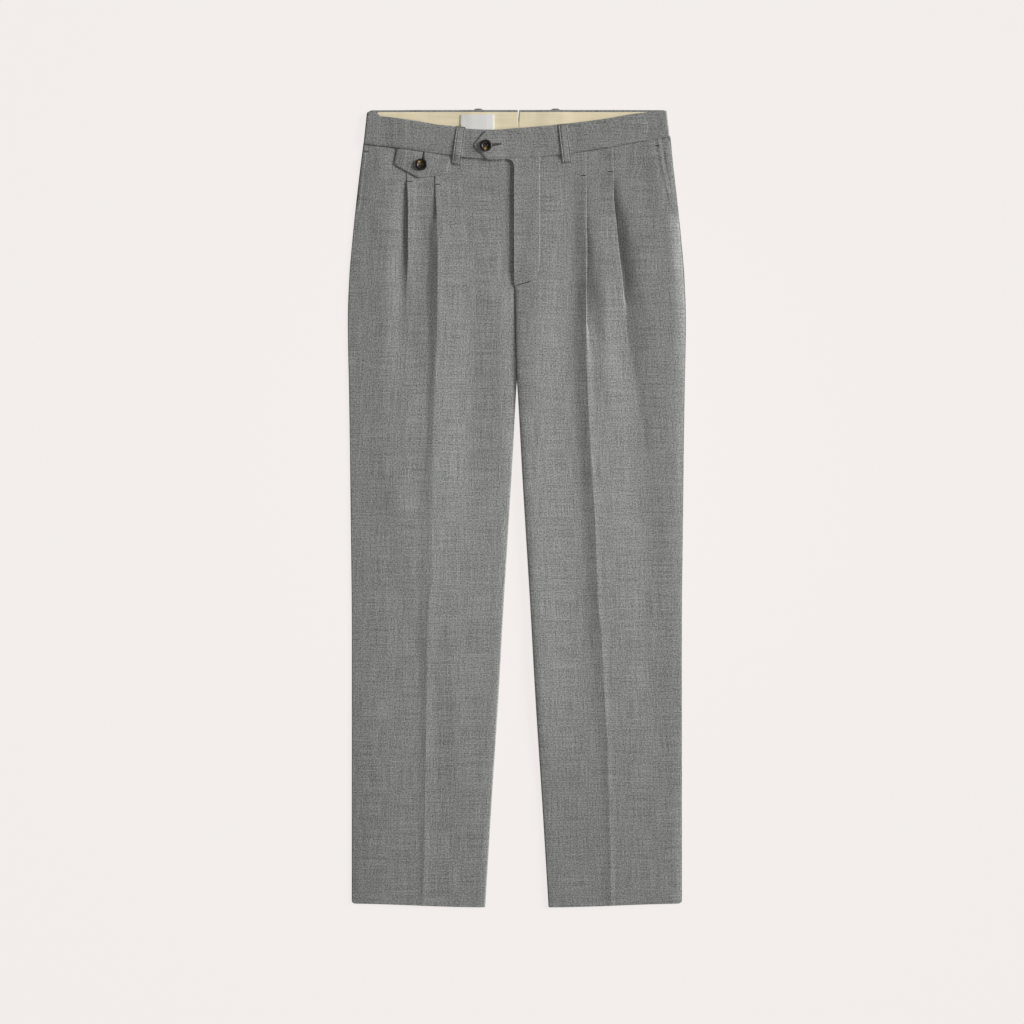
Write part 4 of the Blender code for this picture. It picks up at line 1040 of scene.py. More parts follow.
def threads(name, starts, ends, radius, rise, material):
    """Short lengths of thread from each start to its end, in garment terms.

    Each is a round tube whose middle line rises by a half wave over its length, with closed ends.
    """
    starts, ends = to_frame(np.asarray(starts)), to_frame(np.asarray(ends))
    share = np.linspace(0.0, 1.0, THREAD_RINGS)[None, :, None]
    heading = unit(ends - starts)
    sideways = unit(np.cross(heading, [0.0, 0.0, 1.0]))
    upwards = np.cross(sideways, heading)
    strand = starts[:, None] + (ends - starts)[:, None] * share
    strand = strand + upwards[:, None] * rise * MM * np.sin(math.pi * share)
    angle = np.linspace(0.0, 2.0 * math.pi, THREAD_SIDES, endpoint=False)[None, None, :, None]
    swell = THREAD_END + (1.0 - THREAD_END) * np.sqrt(np.sin(math.pi * share)[..., None])
    round_it = np.cos(angle) * sideways[:, None, None] + np.sin(angle) * upwards[:, None, None]
    points = strand[:, :, None] + radius * MM * swell * round_it
    count = len(starts)
    index = np.arange(count * THREAD_RINGS * THREAD_SIDES).reshape(count, THREAD_RINGS, THREAD_SIDES)
    beside = np.roll(index, -1, axis=2)
    tube = quads(index[:, :-1], beside[:, :-1], beside[:, 1:], index[:, 1:])
    caps = np.concatenate([index[:, 0, ::-1], index[:, -1]])
    around = np.broadcast_to(np.arange(THREAD_SIDES) / THREAD_SIDES, index.shape)
    onward = np.broadcast_to(share[..., 0][..., None], index.shape)
    uv = np.stack([around, onward], axis=-1).reshape(-1, 2)
    return new_piece(name, points.reshape(-1, 3), [tube, caps], material, uv)


def bartack(face, start, end, width=1.5, strands=16):
    """Ends of the strands of a bar tack: a close zigzag across the line from start to end."""
    start, end = np.array(start), np.array(end)
    heading = (end - start) / np.linalg.norm(end - start)
    across = np.array([-heading[1], heading[0]]) * width / 2
    share = np.linspace(0.0, 1.0, strands)[:, None]
    middle = start + (end - start) * share
    sign = np.where(np.arange(strands) % 2 == 0, 1.0, -1.0)[:, None]
    lean = heading * np.linalg.norm(end - start) / strands / 2
    return on_face(face, middle + across * sign - lean), on_face(face, middle - across * sign + lean)


def running_stitches(face, path, spacing, length, start=0.0):
    """Ends of evenly spaced stitches along a line, leaving out its start."""
    points, heading = walk(path, spacing, start)
    return on_face(face, points - heading * length / 2), on_face(face, points + heading * length / 2)


def buttonhole_stitches(face, hole, spacing=0.36, reach=1.1):
    """Ends of the strands that bind a buttonhole: across both lips, wider where it is pulled open."""
    points, heading = walk(hole, spacing)
    part = np.linspace(0.0, 1.0, len(points))[:, None]
    across = np.column_stack([-heading[:, 1], heading[:, 0]]) * reach * (1.0 + (1.0 - part) ** SLIT_TAPER)
    return on_face(face, points + across), on_face(face, points - across)


def on_face(face, places):
    """Places, as x and drop, put on a surface whose height is a function of both."""
    return np.column_stack([places, face(places[:, 0], places[:, 1])])


# Materials


def node(tree, kind, inputs=(), **settings):
    """A shader node with its settings; each named input takes a value or another node's output."""
    made = tree.nodes.new(kind)
    for key, value in settings.items():
        setattr(made, key, value)
    for key, value in dict(inputs).items():
        if isinstance(value, bpy.types.NodeSocket):
            tree.links.new(value, made.inputs[key])
        else:
            made.inputs[key].default_value = value
    return made


def new_material(name, roughness, specular, sheen=0.0):
    """A material with an empty tree but for its Principled BSDF."""
    material = bpy.data.materials.new(name)
    material.use_nodes = True
    tree = material.node_tree
    shader = tree.nodes["Principled BSDF"]
    shader.inputs["Roughness"].default_value = roughness
    shader.inputs["Specular IOR Level"].default_value = specular
    shader.inputs["Sheen Weight"].default_value = sheen
    shader.inputs["Sheen Roughness"].default_value = SHEEN_ROUGHNESS
    return material, tree, shader


def streaks(tree, across, onward, detail=0.0, shift=0.0):
    """Noise on the cloth's own map whose specks have the given size in millimetres, across and onward."""
    cloth = node(tree, "ShaderNodeUVMap", uv_map="Cloth").outputs["UV"]
    scale = (1.0 / (across * MM), 1.0 / (onward * MM), 1.0)
    inputs = {"Vector": cloth, "Scale": scale, "Location": (shift, shift, 0.0)}
    scaled = node(tree, "ShaderNodeMapping", inputs).outputs["Vector"]
    inputs = {"Vector": scaled, "Scale": 1.0, "Detail": detail}
    return node(tree, "ShaderNodeTexNoise", inputs, noise_dimensions="2D").outputs["Fac"]


def maths(tree, operation, *values):
    """The result of a math node."""
    return node(tree, "ShaderNodeMath", dict(enumerate(values)), operation=operation).outputs[0]


def blend_of(tree, parts):
    """Sum of noises about a half: each part is an output and its weight."""
    total = 0.5 - sum(weight for _, weight in parts) / 2
    for output, weight in parts:
        total = maths(tree, "MULTIPLY_ADD", output, weight, total)
    return total


def yarns_of(tree, rows):
    """Blend of streaks: each row is their size across and onward, detail, shift and weight."""
    return blend_of(tree, [(streaks(tree, *row[:4]), row[4]) for row in rows])


def between(tree, share, dark, light):
    """A colour between two, by share."""
    inputs = {0: share, 6: (*dark, 1.0), 7: (*light, 1.0)}
    return node(tree, "ShaderNodeMix", inputs, data_type="RGBA").outputs[2]


def twill(tree, pitch):
    """Height of a fine twill: slanting ribs, a sine of the sum of both directions of the cloth's map."""
    cloth = node(tree, "ShaderNodeUVMap", uv_map="Cloth").outputs["UV"]
    parts = node(tree, "ShaderNodeSeparateXYZ", {0: cloth})
    total = maths(tree, "ADD", parts.outputs[0], parts.outputs[1])
    wave = maths(tree, "SINE", maths(tree, "MULTIPLY", total, 2.0 * math.pi / (pitch * MM)))
    return maths(tree, "MULTIPLY_ADD", wave, 0.5, 0.5)


def tone(tree, shader, share, colour, dark, light):
    """Gives the shader a colour between a darker and a lighter tone of one, by share."""
    colour = np.array(colour)
    tree.links.new(between(tree, share, colour * dark, colour * light), shader.inputs["Base Color"])


def bump(tree, shader, height, distance, strength):
    """Gives the shader a bump of that depth, in millimetres."""
    inputs = {"Height": height, "Distance": distance * MM, "Strength": strength}
    tree.links.new(node(tree, "ShaderNodeBump", inputs).outputs["Normal"], shader.inputs["Normal"])


def worsted(cloth):
    """Heathered worsted: long light and dark yarns both ways, specks, and a fine twill."""
    material, tree, shader = new_material("worsted", cloth.roughness, specular=0.25, sheen=cloth.nap)
    yarns = yarns_of(tree, WORSTED_YARNS)
    tone(tree, shader, yarns, cloth.colour, 1.0 - cloth.heather, 1.0 + cloth.heather)
    surface = blend_of(tree, [(twill(tree, TWILL_PITCH), 0.5), (yarns, 0.6)])
    bump(tree, shader, surface, distance=0.16, strength=0.7)
    return material


def paper(colour):
    """Pale paper with a faint grain that gives most of its light itself, as on a lit table."""
    material, tree, shader = new_material("floor_paper", roughness=0.95, specular=0.0)
    place = node(tree, "ShaderNodeTexCoord").outputs["Object"]
    inputs = {"Vector": place, "Scale": 3.0, "Detail": 2.0}
    grain = node(tree, "ShaderNodeTexNoise", inputs).outputs["Fac"]
    own = np.array(colour) * (1.0 - FLOOR_GLOW)
    tone(tree, shader, grain, own, 1.0 - FLOOR_GRAIN, 1.0 + FLOOR_GRAIN)
    shader.inputs["Emission Color"].default_value = (*colour, 1.0)
    shader.inputs["Emission Strength"].default_value = FLOOR_GLOW
    return material


def trim_cloth(name, colour, roughness, specular, dark, depth, yarns):
    """A smooth cloth of one colour with fine ribs: the cream lining and the bare woven label."""
    material, tree, shader = new_material(name, roughness, specular, TRIM_SHEEN)
    share = yarns_of(tree, yarns)
    tone(tree, shader, share, colour, dark, TRIM_LIGHT)
    bump(tree, shader, share, distance=depth, strength=0.5)
    return material


def thread_yarn(name, colour):
    """Sewing thread: two twisted plies, a wave that slants round the strand."""
    material, tree, shader = new_material(name, roughness=0.6, specular=0.3, sheen=TRIM_SHEEN)
    strand = node(tree, "ShaderNodeUVMap", uv_map="Cloth").outputs["UV"]
    inputs = {"Vector": strand, "Scale": 2.0, "Distortion": 0.5}
    ply = node(tree, "ShaderNodeTexWave", inputs, bands_direction="DIAGONAL").outputs["Fac"]
    tone(tree, shader, ply, colour, dark=0.7, light=1.3)
    bump(tree, shader, ply, distance=0.05, strength=0.4)
    return material


def tortoise(name, middle, flare, trim):
    """Dark polished horn with an amber flare, an offset in millimetres from the button's middle."""
    material, tree, shader = new_material(name, roughness=0.42, specular=0.35)
    shader.inputs["Coat Weight"].default_value = 0.06
    shader.inputs["Coat Roughness"].default_value = 0.12
    place = node(tree, "ShaderNodeTexCoord").outputs["Object"]
    at = [(middle[0] + flare[0]) * MM, (MIDDLE_DROP - middle[1] - flare[1]) * MM, middle[2] * MM]
    moved = node(tree, "ShaderNodeVectorMath", {0: place, 1: at}, operation="SUBTRACT").outputs[0]
    inputs = {"Vector": moved, "Scale": FLARE_STRETCH, "Rotation": (0.0, 0.0, FLARE_TURN)}
    scaled = node(tree, "ShaderNodeMapping", inputs).outputs[0]
    far = node(tree, "ShaderNodeVectorMath", {0: scaled}, operation="LENGTH").outputs["Value"]
    inputs = {"Vector": moved, "Scale": 420.0, "Detail": 3.0, "Distortion": 1.2}
    marble = node(tree, "ShaderNodeTexNoise", inputs).outputs["Fac"]
    inputs = {0: far, 1: 0.0, 2: FLARE_RADIUS, 3: FLARE_PEAK, 4: 0.0}
    near = node(tree, "ShaderNodeMapRange", inputs).outputs[0]
    glow = {0: maths(tree, "ADD", near, marble), 1: FLARE_EDGE[0], 2: FLARE_EDGE[1], 3: 0.0, 4: 1.0}
    share = node(tree, "ShaderNodeMapRange", glow).outputs[0]
    tree.links.new(between(tree, share, trim.button, trim.flare), shader.inputs["Base Color"])
    return material


# Settings


def tint(name, description, default):
    """A setting that is a colour."""
    return FloatVectorProperty(
        name=name, description=description, subtype="COLOR", size=3, min=0.0, max=1.0, default=default
    )


def amount(name, description, default):
    """A setting from 0 to 1."""
    return measure(name, description, default, subtype="FACTOR", max=1.0)


def measure(name, description, default, **kind):
    """A setting that is not below 0, with its unit or subtype."""
    return FloatProperty(name=name, description=description, min=0.0, default=default, **kind)


class TrousersCloth(bpy.types.PropertyGroup):
    """The suiting."""

    colour: tint("Suiting", "Mean colour of the worsted", (0.212, 0.215, 0.207))
    heather: amount("Heather", "How far the light and dark yarns stand from the mean colour", 0.5)
    roughness: amount("Roughness", "How matt the worsted is", 0.88)
    nap: amount("Nap", "Strength of the fine nap's sheen", 0.12)


class TrousersTrim(bpy.types.PropertyGroup):
    """Lining, label, thread and buttons."""

    lining: tint("Lining", "Colour of the waistband's lining", (0.75, 0.652, 0.455))
    label: tint("Label", "Colour of the bare label", (0.683, 0.676, 0.654))
    thread: tint("Thread", "Colour of the sewing thread", (0.045, 0.045, 0.043))
    button: tint("Button", "Dark colour of the horn buttons", (0.012, 0.008, 0.006))
    flare: tint("Flare", "Amber colour in the horn buttons", (0.33, 0.20, 0.075))


class TrousersStage(bpy.types.PropertyGroup):
    """Floor, light and camera."""

    floor: tint("Floor", "Colour of the pale floor", (0.904, 0.862, 0.838))
    key: measure("Key", "Strength of the soft key light", 5.8)
    softness: measure("Softness", "Angle that the key light fills", math.radians(22.0), subtype="ANGLE")
    fill: measure("Fill", "Strength of the even light from all round", 0.14)
    top: measure("Top", "Power of the soft light above", 1.34, subtype="POWER")
    height: measure("Camera Height", "How high the camera stands", 3.5, unit="LENGTH")
    view: measure("View", "Length of floor that the camera sees", 1.3824, unit="LENGTH")


# Operators


def shared(name, make):
    """The material of that name, made the first time it is asked for."""
    return bpy.data.materials.get(name) or make()


def cloth_material(context):
    """The suiting, shared by all its pieces."""
    return shared("worsted", lambda: worsted(context.scene.trousers_cloth))


def thread_material(context):
    """The sewing thread."""
    return shared("thread", lambda: thread_yarn("thread", context.scene.trousers_trim.thread))


def dress(piece, slot, *nodes):
    """Hides the CAD nodes that a piece stands for and returns the piece. The slot is not used."""
    if nodes:
        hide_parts(*nodes)
    return piece


def cloth_shell(context, group, side, grid, wall, node_name, anchor=0):
    """A shell of the suiting for one side of a group of like pieces, which stands for a CAD node."""
    name, shift = group + "_" + SIDE_NAME[side], SHIFT[group] * side
    piece = shell(name, grid, wall, cloth_material(context), anchor=anchor, shift=shift)
    return dress(piece, "suiting", node_name + "_" + SIDE_NAME[side])


def sew(context, name, runs, size, slot="suiting"):
    """Threads of a size along runs of stitches."""
    return dress(threads(name, *runs, *size, thread_material(context)), slot)


def joined(*runs):
    """Several runs of stitches as one."""
    return np.vstack([run[0] for run in runs]), np.vstack([run[1] for run in runs])


class TROUSERS_OT_back_panels(bpy.types.Operator):
    """The back leg panels, which lie on the surface"""

    bl_idname = "trousers.back_panels"
    bl_label = "Back Panels"

    def execute(self, context):
        for side in (LEFT, RIGHT):
            piece = cloth_shell(context, "back", side, back_grid(side), BACK_WALL, "back_panel")
        return {"FINISHED"}


def back_grid(side):
    """Middle surface of a back panel, from the centre seam and inseam to the side."""
    rows = BACK_SEAM + (HEM_INNER - BACK_SEAM) * graded(*BACK_ROWS)
    level = rows[:, None]
    to_crotch = np.clip((CROTCH - rows) / (CROTCH - BACK_SEAM), 0.0, 1.0)
    seam = CENTRE_BACK * side * to_crotch + GAP / 2
    inner = np.where(rows < CROTCH, seam, along(INSEAM, rows)[0])
    reach = spread(inner, side_reach(rows) - hem_corner(rows), graded(*BACK_COLUMNS))
    slant = back_seam(side, reach) - BACK_TUCK - BACK_SEAM
    slant = slant * (1.0 - smooth((level - BACK_SEAM) / BACK_CURVE))
    drop = level + slant + hem_slant(reach, level)
    return np.dstack([side * reach, drop, BACK_WALL / 2 + loop_cover(side * reach, drop)])


class TROUSERS_OT_pocket_facings(bpy.types.Operator):
    """The strips of cloth behind the side pockets' openings"""

    bl_idname = "trousers.pocket_facings"
    bl_label = "Pocket Facings"

    def execute(self, context):
        for side, name in SIDE_NAME.items():
            piece = cloth_shell(context, "facing", side, facing_grid(side), FACING_LAYER, "pocket_facing")
        return {"FINISHED"}


def facing_grid(side):
    """Middle surface of a pocket facing, a strip along the side seam."""
    share, columns = (np.linspace(0.0, 1.0, count) for count in FACING_GRID)
    down = BACK_SEAM + (FACING_END - BACK_SEAM) * share
    cut_in = FACING_CUT_IN * (1.0 - smooth(share / FACING_CUT_SHARE))
    outer = side_reach(down) - SIDE_INSET[side] - cut_in
    reach = spread(outer - FACING_WIDTH, outer, columns)
    top = back_seam(side, reach) + FACING_TUCK
    drop = top + (FACING_END - top) * share[:, None]
    to_side = outer[:, None] - reach
    hump = line(to_side, FACING_HUMP_PLACE, FACING_HUMP_WIDTH, FACING_HUMP[side])
    height = BACK_WALL + GAP + FACING_LAYER / 2 + at_edge(to_side, *FACING_TURN)
    height = height + hump * smooth(share / FACING_HUMP_START)[:, None]
    height = height + ripples(side * reach, drop, FACING_RIPPLES)
    return np.dstack([side * reach, drop, height])


class TROUSERS_OT_front_panels(bpy.types.Operator):
    """The front leg panels with their pleats, creases, fly, pocket edges and stitching"""

    bl_idname = "trousers.front_panels"
    bl_label = "Front Panels"

    def execute(self, context):
        for side, name in SIDE_NAME.items():
            grid, anchor = front_grid(side), CENTRE_COLUMNS[side][0]
            piece = cloth_shell(context, "front", side, grid, FRONT_WALL, "front_panel", anchor)
            stitches = sew(context, "stitches_front_" + name, front_stitches(side), FRONT_THREAD)
        return {"FINISHED"}


def front_grid(side):
    """Middle surface of a front panel: a section at each row, from the inner edge to the side."""
    rows = WAIST_ROW + (HEM_INNER - WAIST_ROW) * graded(*FRONT_ROWS)
    level = rows[:, None]
    first, second = pleat_path(side, 0, rows), pleat_path(side, 1, rows)
    centre = spread(inner_reach(side, rows), first[:, 0, 0], graded(*CENTRE_COLUMNS[side]))[:, :-1]
    middle = spread(first[:, -1, 0], second[:, 0, 0], graded(*BETWEEN_COLUMNS))[:, 1:-1]
    edge = outer_reach(side, rows) - hem_corner(rows)
    outside = spread(second[:, -1, 0], edge, graded(*SIDE_COLUMNS))[:, 1:]
    beyond = np.hstack([middle, second[..., 0], outside])
    reach = np.hstack([centre, first[..., 0], beyond])
    outer = [behind_pleat(side, 1, middle, level), second[..., 1], beyond_pleat(side, 1, outside, level)]
    outer = np.hstack(outer) + beyond_pleat(side, 0, beyond, level)
    height = np.hstack([behind_pleat(side, 0, centre, level), first[..., 1], outer])
    drop = true_drop(side, reach, level)
    height = height * edge_rolls(side, reach, drop)
    height = height + resting_height(side, reach, drop) + relief(side, reach, drop)
    return np.dstack([side * reach, drop, resting_on_back(height)])


def front_stitches(side):
    """All the stitches that show on a front panel."""

    def face(x, drop):
        return front_face(side, x, drop)

    opening = [(side * (reach - OPENING_STITCH), drop) for drop, reach in OPENING[side][:-1]]
    runs = [running_stitches(face, opening, spacing=5.5, length=1.1, start=OPENING_START)]
    if side == LEFT:
        runs.append(running_stitches(face, FLY_STITCH, spacing=2.6, length=1.9, start=FLY_START))
        runs.append(bartack(face, *FLY_TACK, strands=FLY_TACK_STRANDS))
    runs += [bartack(face, start, end) for start, end in TACKS[side]]
    return joined(*runs)


class TROUSERS_OT_waistbands(bpy.types.Operator):
    """The waistband halves, folded over at the sides, and the tab's buttonhole"""

    bl_idname = "trousers.waistbands"
    bl_label = "Waistbands"

    def execute(self, context):
        for side in (LEFT, RIGHT):
            piece = cloth_shell(context, "band", side, band_grid(side), BAND_WALL, "waistband")
            under, with_pieces = ["band_lining_right", "back_right"], []
            if side == LEFT:
                under = ["band_lining_left", "band_right"]
                runs = buttonhole_stitches(lambda x, drop: band_face(LEFT, x, drop), BUTTONHOLE_WAIST)
                with_pieces.append(sew(context, "stitches_buttonhole_waist", runs, HOLE_THREAD))
        return {"FINISHED"}


def band_grid(side):
    """Middle surface of a waistband half: along the front, round the side in a half circle, and back."""
    front_height = float(front_band_height(side, side * FOLD_REACH))
    back_height = BAND_LAYER / 2
    radius = (front_height - back_height) / 2
    bend_start = BACK_SEAM_BEND[0]
    start = BAND_END[side] * side
    part = graded(*BAND_ROWS[side])[:, None]
    corner = rounded(1.0 - part * BACK_SEAM / BAND_CORNER[side], BAND_CORNER[side])
    front = (start + (FOLD_REACH - start) * graded(*BAND_COLUMNS[side]))[None, :]

    def slanted(reach, drop):
        """Follows the slope of the side: the fold lies further out lower down."""
        shift = side_reach(drop) - radius - BAND_LAYER / 2 - FOLD_REACH - corner
        return reach + shift * smooth((reach - bend_start) / (FOLD_REACH - bend_start))

    def front_drop(x):
        top = waist_top(side, x)
        return top + (waist_seam(side, x) - top) * part

    reach = slanted(front, front_drop(side * front))
    drop = front_drop(side * reach)
    height = front_band_height(side, side * front) + band_sewing(side, side * reach, drop)
    angle = np.linspace(0.0, math.pi, FOLD_COLUMNS)[None, 1:-1]
    fold_reach = reach[:, -1:] + radius * np.sin(angle)
    fold_drop = np.repeat(drop[:, -1:], angle.size, axis=1)
    settle = height[:, -1:] - front_height
    fold_height = back_height + radius * (1.0 + np.cos(angle)) + settle * (1.0 + np.cos(angle)) / 2.0
    share = graded(*BAND_BACK_COLUMNS)[None, :]
    back = FOLD_REACH * (1.0 - share)
    to_middle = CENTRE_BACK * side + notch(part * BACK_SEAM) + GAP / 2
    back_reach = slanted(back, back_seam(side, back) * part) + to_middle * share
    back_drop = back_seam(side, back_reach) * part
    reach = np.hstack([reach, fold_reach, back_reach])
    drop = np.hstack([drop, fold_drop, back_drop])
    height = np.hstack([height, fold_height, np.full_like(back_reach, back_height)])
    return np.dstack([side * reach, drop, height + loop_cover(side * reach, drop)])


class TROUSERS_OT_lining(bpy.types.Operator):
    """The waistband's lining inside the back, and the bare label on it"""

    bl_idname = "trousers.lining"
    bl_label = "Lining and Label"

    def execute(self, context):
        trim = context.scene.trousers_trim
        material = trim_cloth("cream_twill", trim.lining, *LINING_FINISH)
        for side, name in SIDE_NAME.items():
            shift = SHIFT["lining"] * side
            piece = shell("band_lining_" + name, lining_grid(side), LINING_LAYER, material, shift=shift)
            dress(piece, "lining", "waistband_lining_" + name)
        material = trim_cloth("woven_label", trim.label, *LABEL_FINISH)
        piece = shell("label_bare", label_grid(), LABEL_LAYER, material, shift=SHIFT["label"])
        dress(piece, "label", "label")
        return {"FINISHED"}


def lining_grid(side):
    """Middle surface of a half of the lining, from the notch at the centre back to the side."""
    drops = np.linspace(LINING_TOP, LINING_END, LINING_ROWS)
    inner = CENTRE_BACK * side + notch(drops) + GAP / 2 + LINING_INSET
    reach = spread(inner, np.full_like(inner, LINING_REACH), graded(*LINING_COLUMNS))
    x, drop = np.broadcast_arrays(side * reach, drops[:, None])
    to_top = drop - LINING_TOP
    height = BAND_LAYER + GAP + LINING_LAYER / 2 + loop_cover(x, drop) + at_edge(to_top, *LINING_TURN)
    height = height + ripples(x, drop, LINING_RIPPLES) + pucker(to_top, x, drop, *LINING_PUCKER)
    return np.dstack([x, drop, height])


def label_grid():
    """Middle surface of the label, which fills its CAD node's outline."""
    (start, top), (end, foot) = LABEL_LOW[:2], LABEL_HIGH[:2]
    rows, columns = LABEL_GRID
    x, drop = np.meshgrid(np.linspace(start, end, columns), np.linspace(top, foot, rows))
    to_end = np.minimum(x - start, end - x)
    height = BAND_LAYER + 2 * GAP + LINING_LAYER + LABEL_LAYER / 2 + loop_cover(x, drop)
    height = height + line(to_end, *LABEL_RIM) + at_edge(to_end, *LABEL_TURN)
    return np.dstack([x, drop, height + ripples(x, drop, LABEL_RIPPLES)])


class TROUSERS_OT_belt_loops(bpy.types.Operator):
    """The belt loops: two over the front waistband, two under the back one"""

    bl_idname = "trousers.belt_loops"
    bl_label = "Belt Loops"

    def execute(self, context):
        for side, name in SIDE_NAME.items():
            grid = front_loop_grid(side)
            piece = cloth_shell(context, "loop_front", side, grid, LOOP_LAYER, "belt_loop_front")
            sewn = sew(context, "stitches_loop_" + name, loop_stitches(grid), LOOP_THREAD)
            grid = back_loop_grid(side)
            piece = cloth_shell(context, "loop_back", side, grid, BACK_LOOP_LAYER, "belt_loop_back")
        return {"FINISHED"}


def front_loop_grid(side):
    """Middle surface of a front belt loop: a crowned strip that stands off between its ends."""
    top_left, top_right, bottom_right, bottom_left = (np.array(corner) for corner in LOOP_FRONT[side])
    u, v = graded(*LOOP_COLUMNS)[None, :], graded(*LOOP_ROWS)[:, None]
    across, down = u[..., None], v[..., None]
    top = top_left + (top_right - top_left) * across
    bottom = bottom_left + (bottom_right - bottom_left) * across
    x, drop = np.moveaxis(top * (1.0 - down) + bottom * down, -1, 0)
    on_band = front_band_height(side, x) + BAND_WALL / 2 + loop_cover(x, drop)
    on_panel = front_face(side, x, drop)
    past = drop - waist_seam(side, x)
    under = on_band + (on_panel - on_band) * smooth((past + LOOP_LEAD) / LOOP_STEP)
    under = np.where(past > 0.0, np.maximum(under, on_panel), under)
    grooves = sum(line(u, place, LOOP_GROOVE_WIDTH, LOOP_GROOVE) for place in LOOP_LINES)
    crown = LOOP_CROWN * (1.0 - (2.0 * u - 1.0) ** 4) - grooves
    ends = at_edge(v, *LOOP_TOP_TURN) + at_edge(1.0 - v, *LOOP_FOOT_TURN)
    stand = LOOP_CLEAR + LOOP_BULGE * np.sin(math.pi * v) ** 2
    return np.dstack([x, drop, under + LOOP_LAYER / 2 + stand + crown + ends])


def loop_stitches(grid):
    """Ends of a front loop's stitches: a line along the edge that faces +X, and two bar tacks."""
    face = grid + [0.0, 0.0, LOOP_LAYER / 2]
    across = (grid[0, :, 0] - grid[0, 0, 0]) / (grid[0, -1, 0] - grid[0, 0, 0])
    groove = face[:, np.argmin(np.abs(across - LOOP_LINES[1]))]
    places = np.linspace(*LOOP_STITCH_PART, LOOP_STITCH_ENDS)
    rows = np.linspace(0.0, 1.0, len(face))
    points = np.column_stack([np.interp(places, rows, groove[:, i]) for i in range(3)])
    runs = [(points[0::2], points[1::2])]
    for row in LOOP_TACK_ROWS:
        end = face[row]

        def height(x, drop):
            return np.interp(x, end[:, 0], end[:, 2])

        runs.append(bartack(height, end[1, :2], end[-2, :2], LOOP_TACK_WIDTH, LOOP_TACK_STRANDS))
    return joined(*runs)


def back_loop_grid(side):
    """Middle surface of a back belt loop: a flat strip whose upper end is rounded off."""
    u = np.linspace(-1.0, 1.0, LOOP_BACK_COLUMNS)[None, :]
    top = -LOOP_RISE + LOOP_BACK_ROUND * u**4
    drop = top + (LOOP_BACK_END - top) * graded(*BACK_LOOP_ROWS)[:, None]
    x = np.broadcast_to(side * LOOP_BACK_X + u * (LOOP_BACK_WIDTH / 2 - LOOP_BACK_INSET), drop.shape)
    return np.dstack([x, drop, np.full_like(drop, BACK_LOOP_LAYER / 2)])


class TROUSERS_OT_watch_flap(bpy.types.Operator):
    """The pointed flap of the watch pocket, with its buttonhole"""

    bl_idname = "trousers.watch_flap"
    bl_label = "Watch-Pocket Flap"

    def execute(self, context):
        grid, to_edge = flap_grid()
        x, drop = grid[..., 0], grid[..., 1]
        grid[..., 2] = flap_middle(x, drop) + flap_sewing(x, drop, to_edge)
        piece = shell("flap", grid, FLAP_WALL, cloth_material(context), shift=SHIFT["flap"])
        dress(piece, "suiting", "coin_pocket_flap")
        runs = buttonhole_stitches(flap_face, BUTTONHOLE_FLAP)
        bound = sew(context, "stitches_buttonhole_flap", runs, HOLE_THREAD)
        return {"FINISHED"}


def flap_grid():
    """Places on the flap, between the waist seam and its pointed outline, and how far from its edge."""
    edge = np.array(FLAP_EDGE)
    corners = lengths(edge) / lengths(edge)[-1]
    share = np.unique(np.concatenate([graded(*FLAP_COLUMNS), corners]))
    lower = np.column_stack([np.interp(share, corners, edge[:, i]) for i in (0, 1)])
    upper_x = FLAP_TOP[0] + (FLAP_TOP[1] - FLAP_TOP[0]) * share
    upper = np.column_stack([upper_x, waist_seam(RIGHT, upper_x) - FLAP_TUCK])
    places = upper + (lower - upper) * graded(*FLAP_ROWS)[:, None, None]
    sides = [(FLAP_TOP[0], float(waist_seam(RIGHT, FLAP_TOP[0]))), *FLAP_EDGE]
    sides.append((FLAP_TOP[1], float(waist_seam(RIGHT, FLAP_TOP[1]))))
    to_edge = np.abs(offset_from(sides, places[..., 0], places[..., 1]))
    return np.dstack([places, np.zeros(places.shape[:2])]), to_edge


class TROUSERS_OT_buttons(bpy.types.Operator):
    """The two four-hole horn buttons and the thread that holds them"""

    bl_idname = "trousers.buttons"
    bl_label = "Buttons"

    def execute(self, context):
        trim = context.scene.trousers_trim
        grounds = {"button_waist": lambda x, drop: band_face(LEFT, x, drop), "button_flap": flap_face}
        for name, flare in BUTTON_FLARE.items():
            ground = grounds[name]
            low, high = box_mm(name)
            middle = (low + high) / 2
            radius, rise = (high[0] - low[0]) / 2, high[2] - low[2]
            base = float(ground(*middle[:2])) + BUTTON_STAND
            material = tortoise(name + "_horn", middle, flare, trim)
            piece = button(name + "_horn", middle, radius, base, rise, material)
            dress(piece, "button", name)
            strands = button_threads(middle, base + rise * STRAND_LEVEL)
            sew(context, name + "_thread", strands, BUTTON_THREAD, "button")
        return {"FINISHED"}


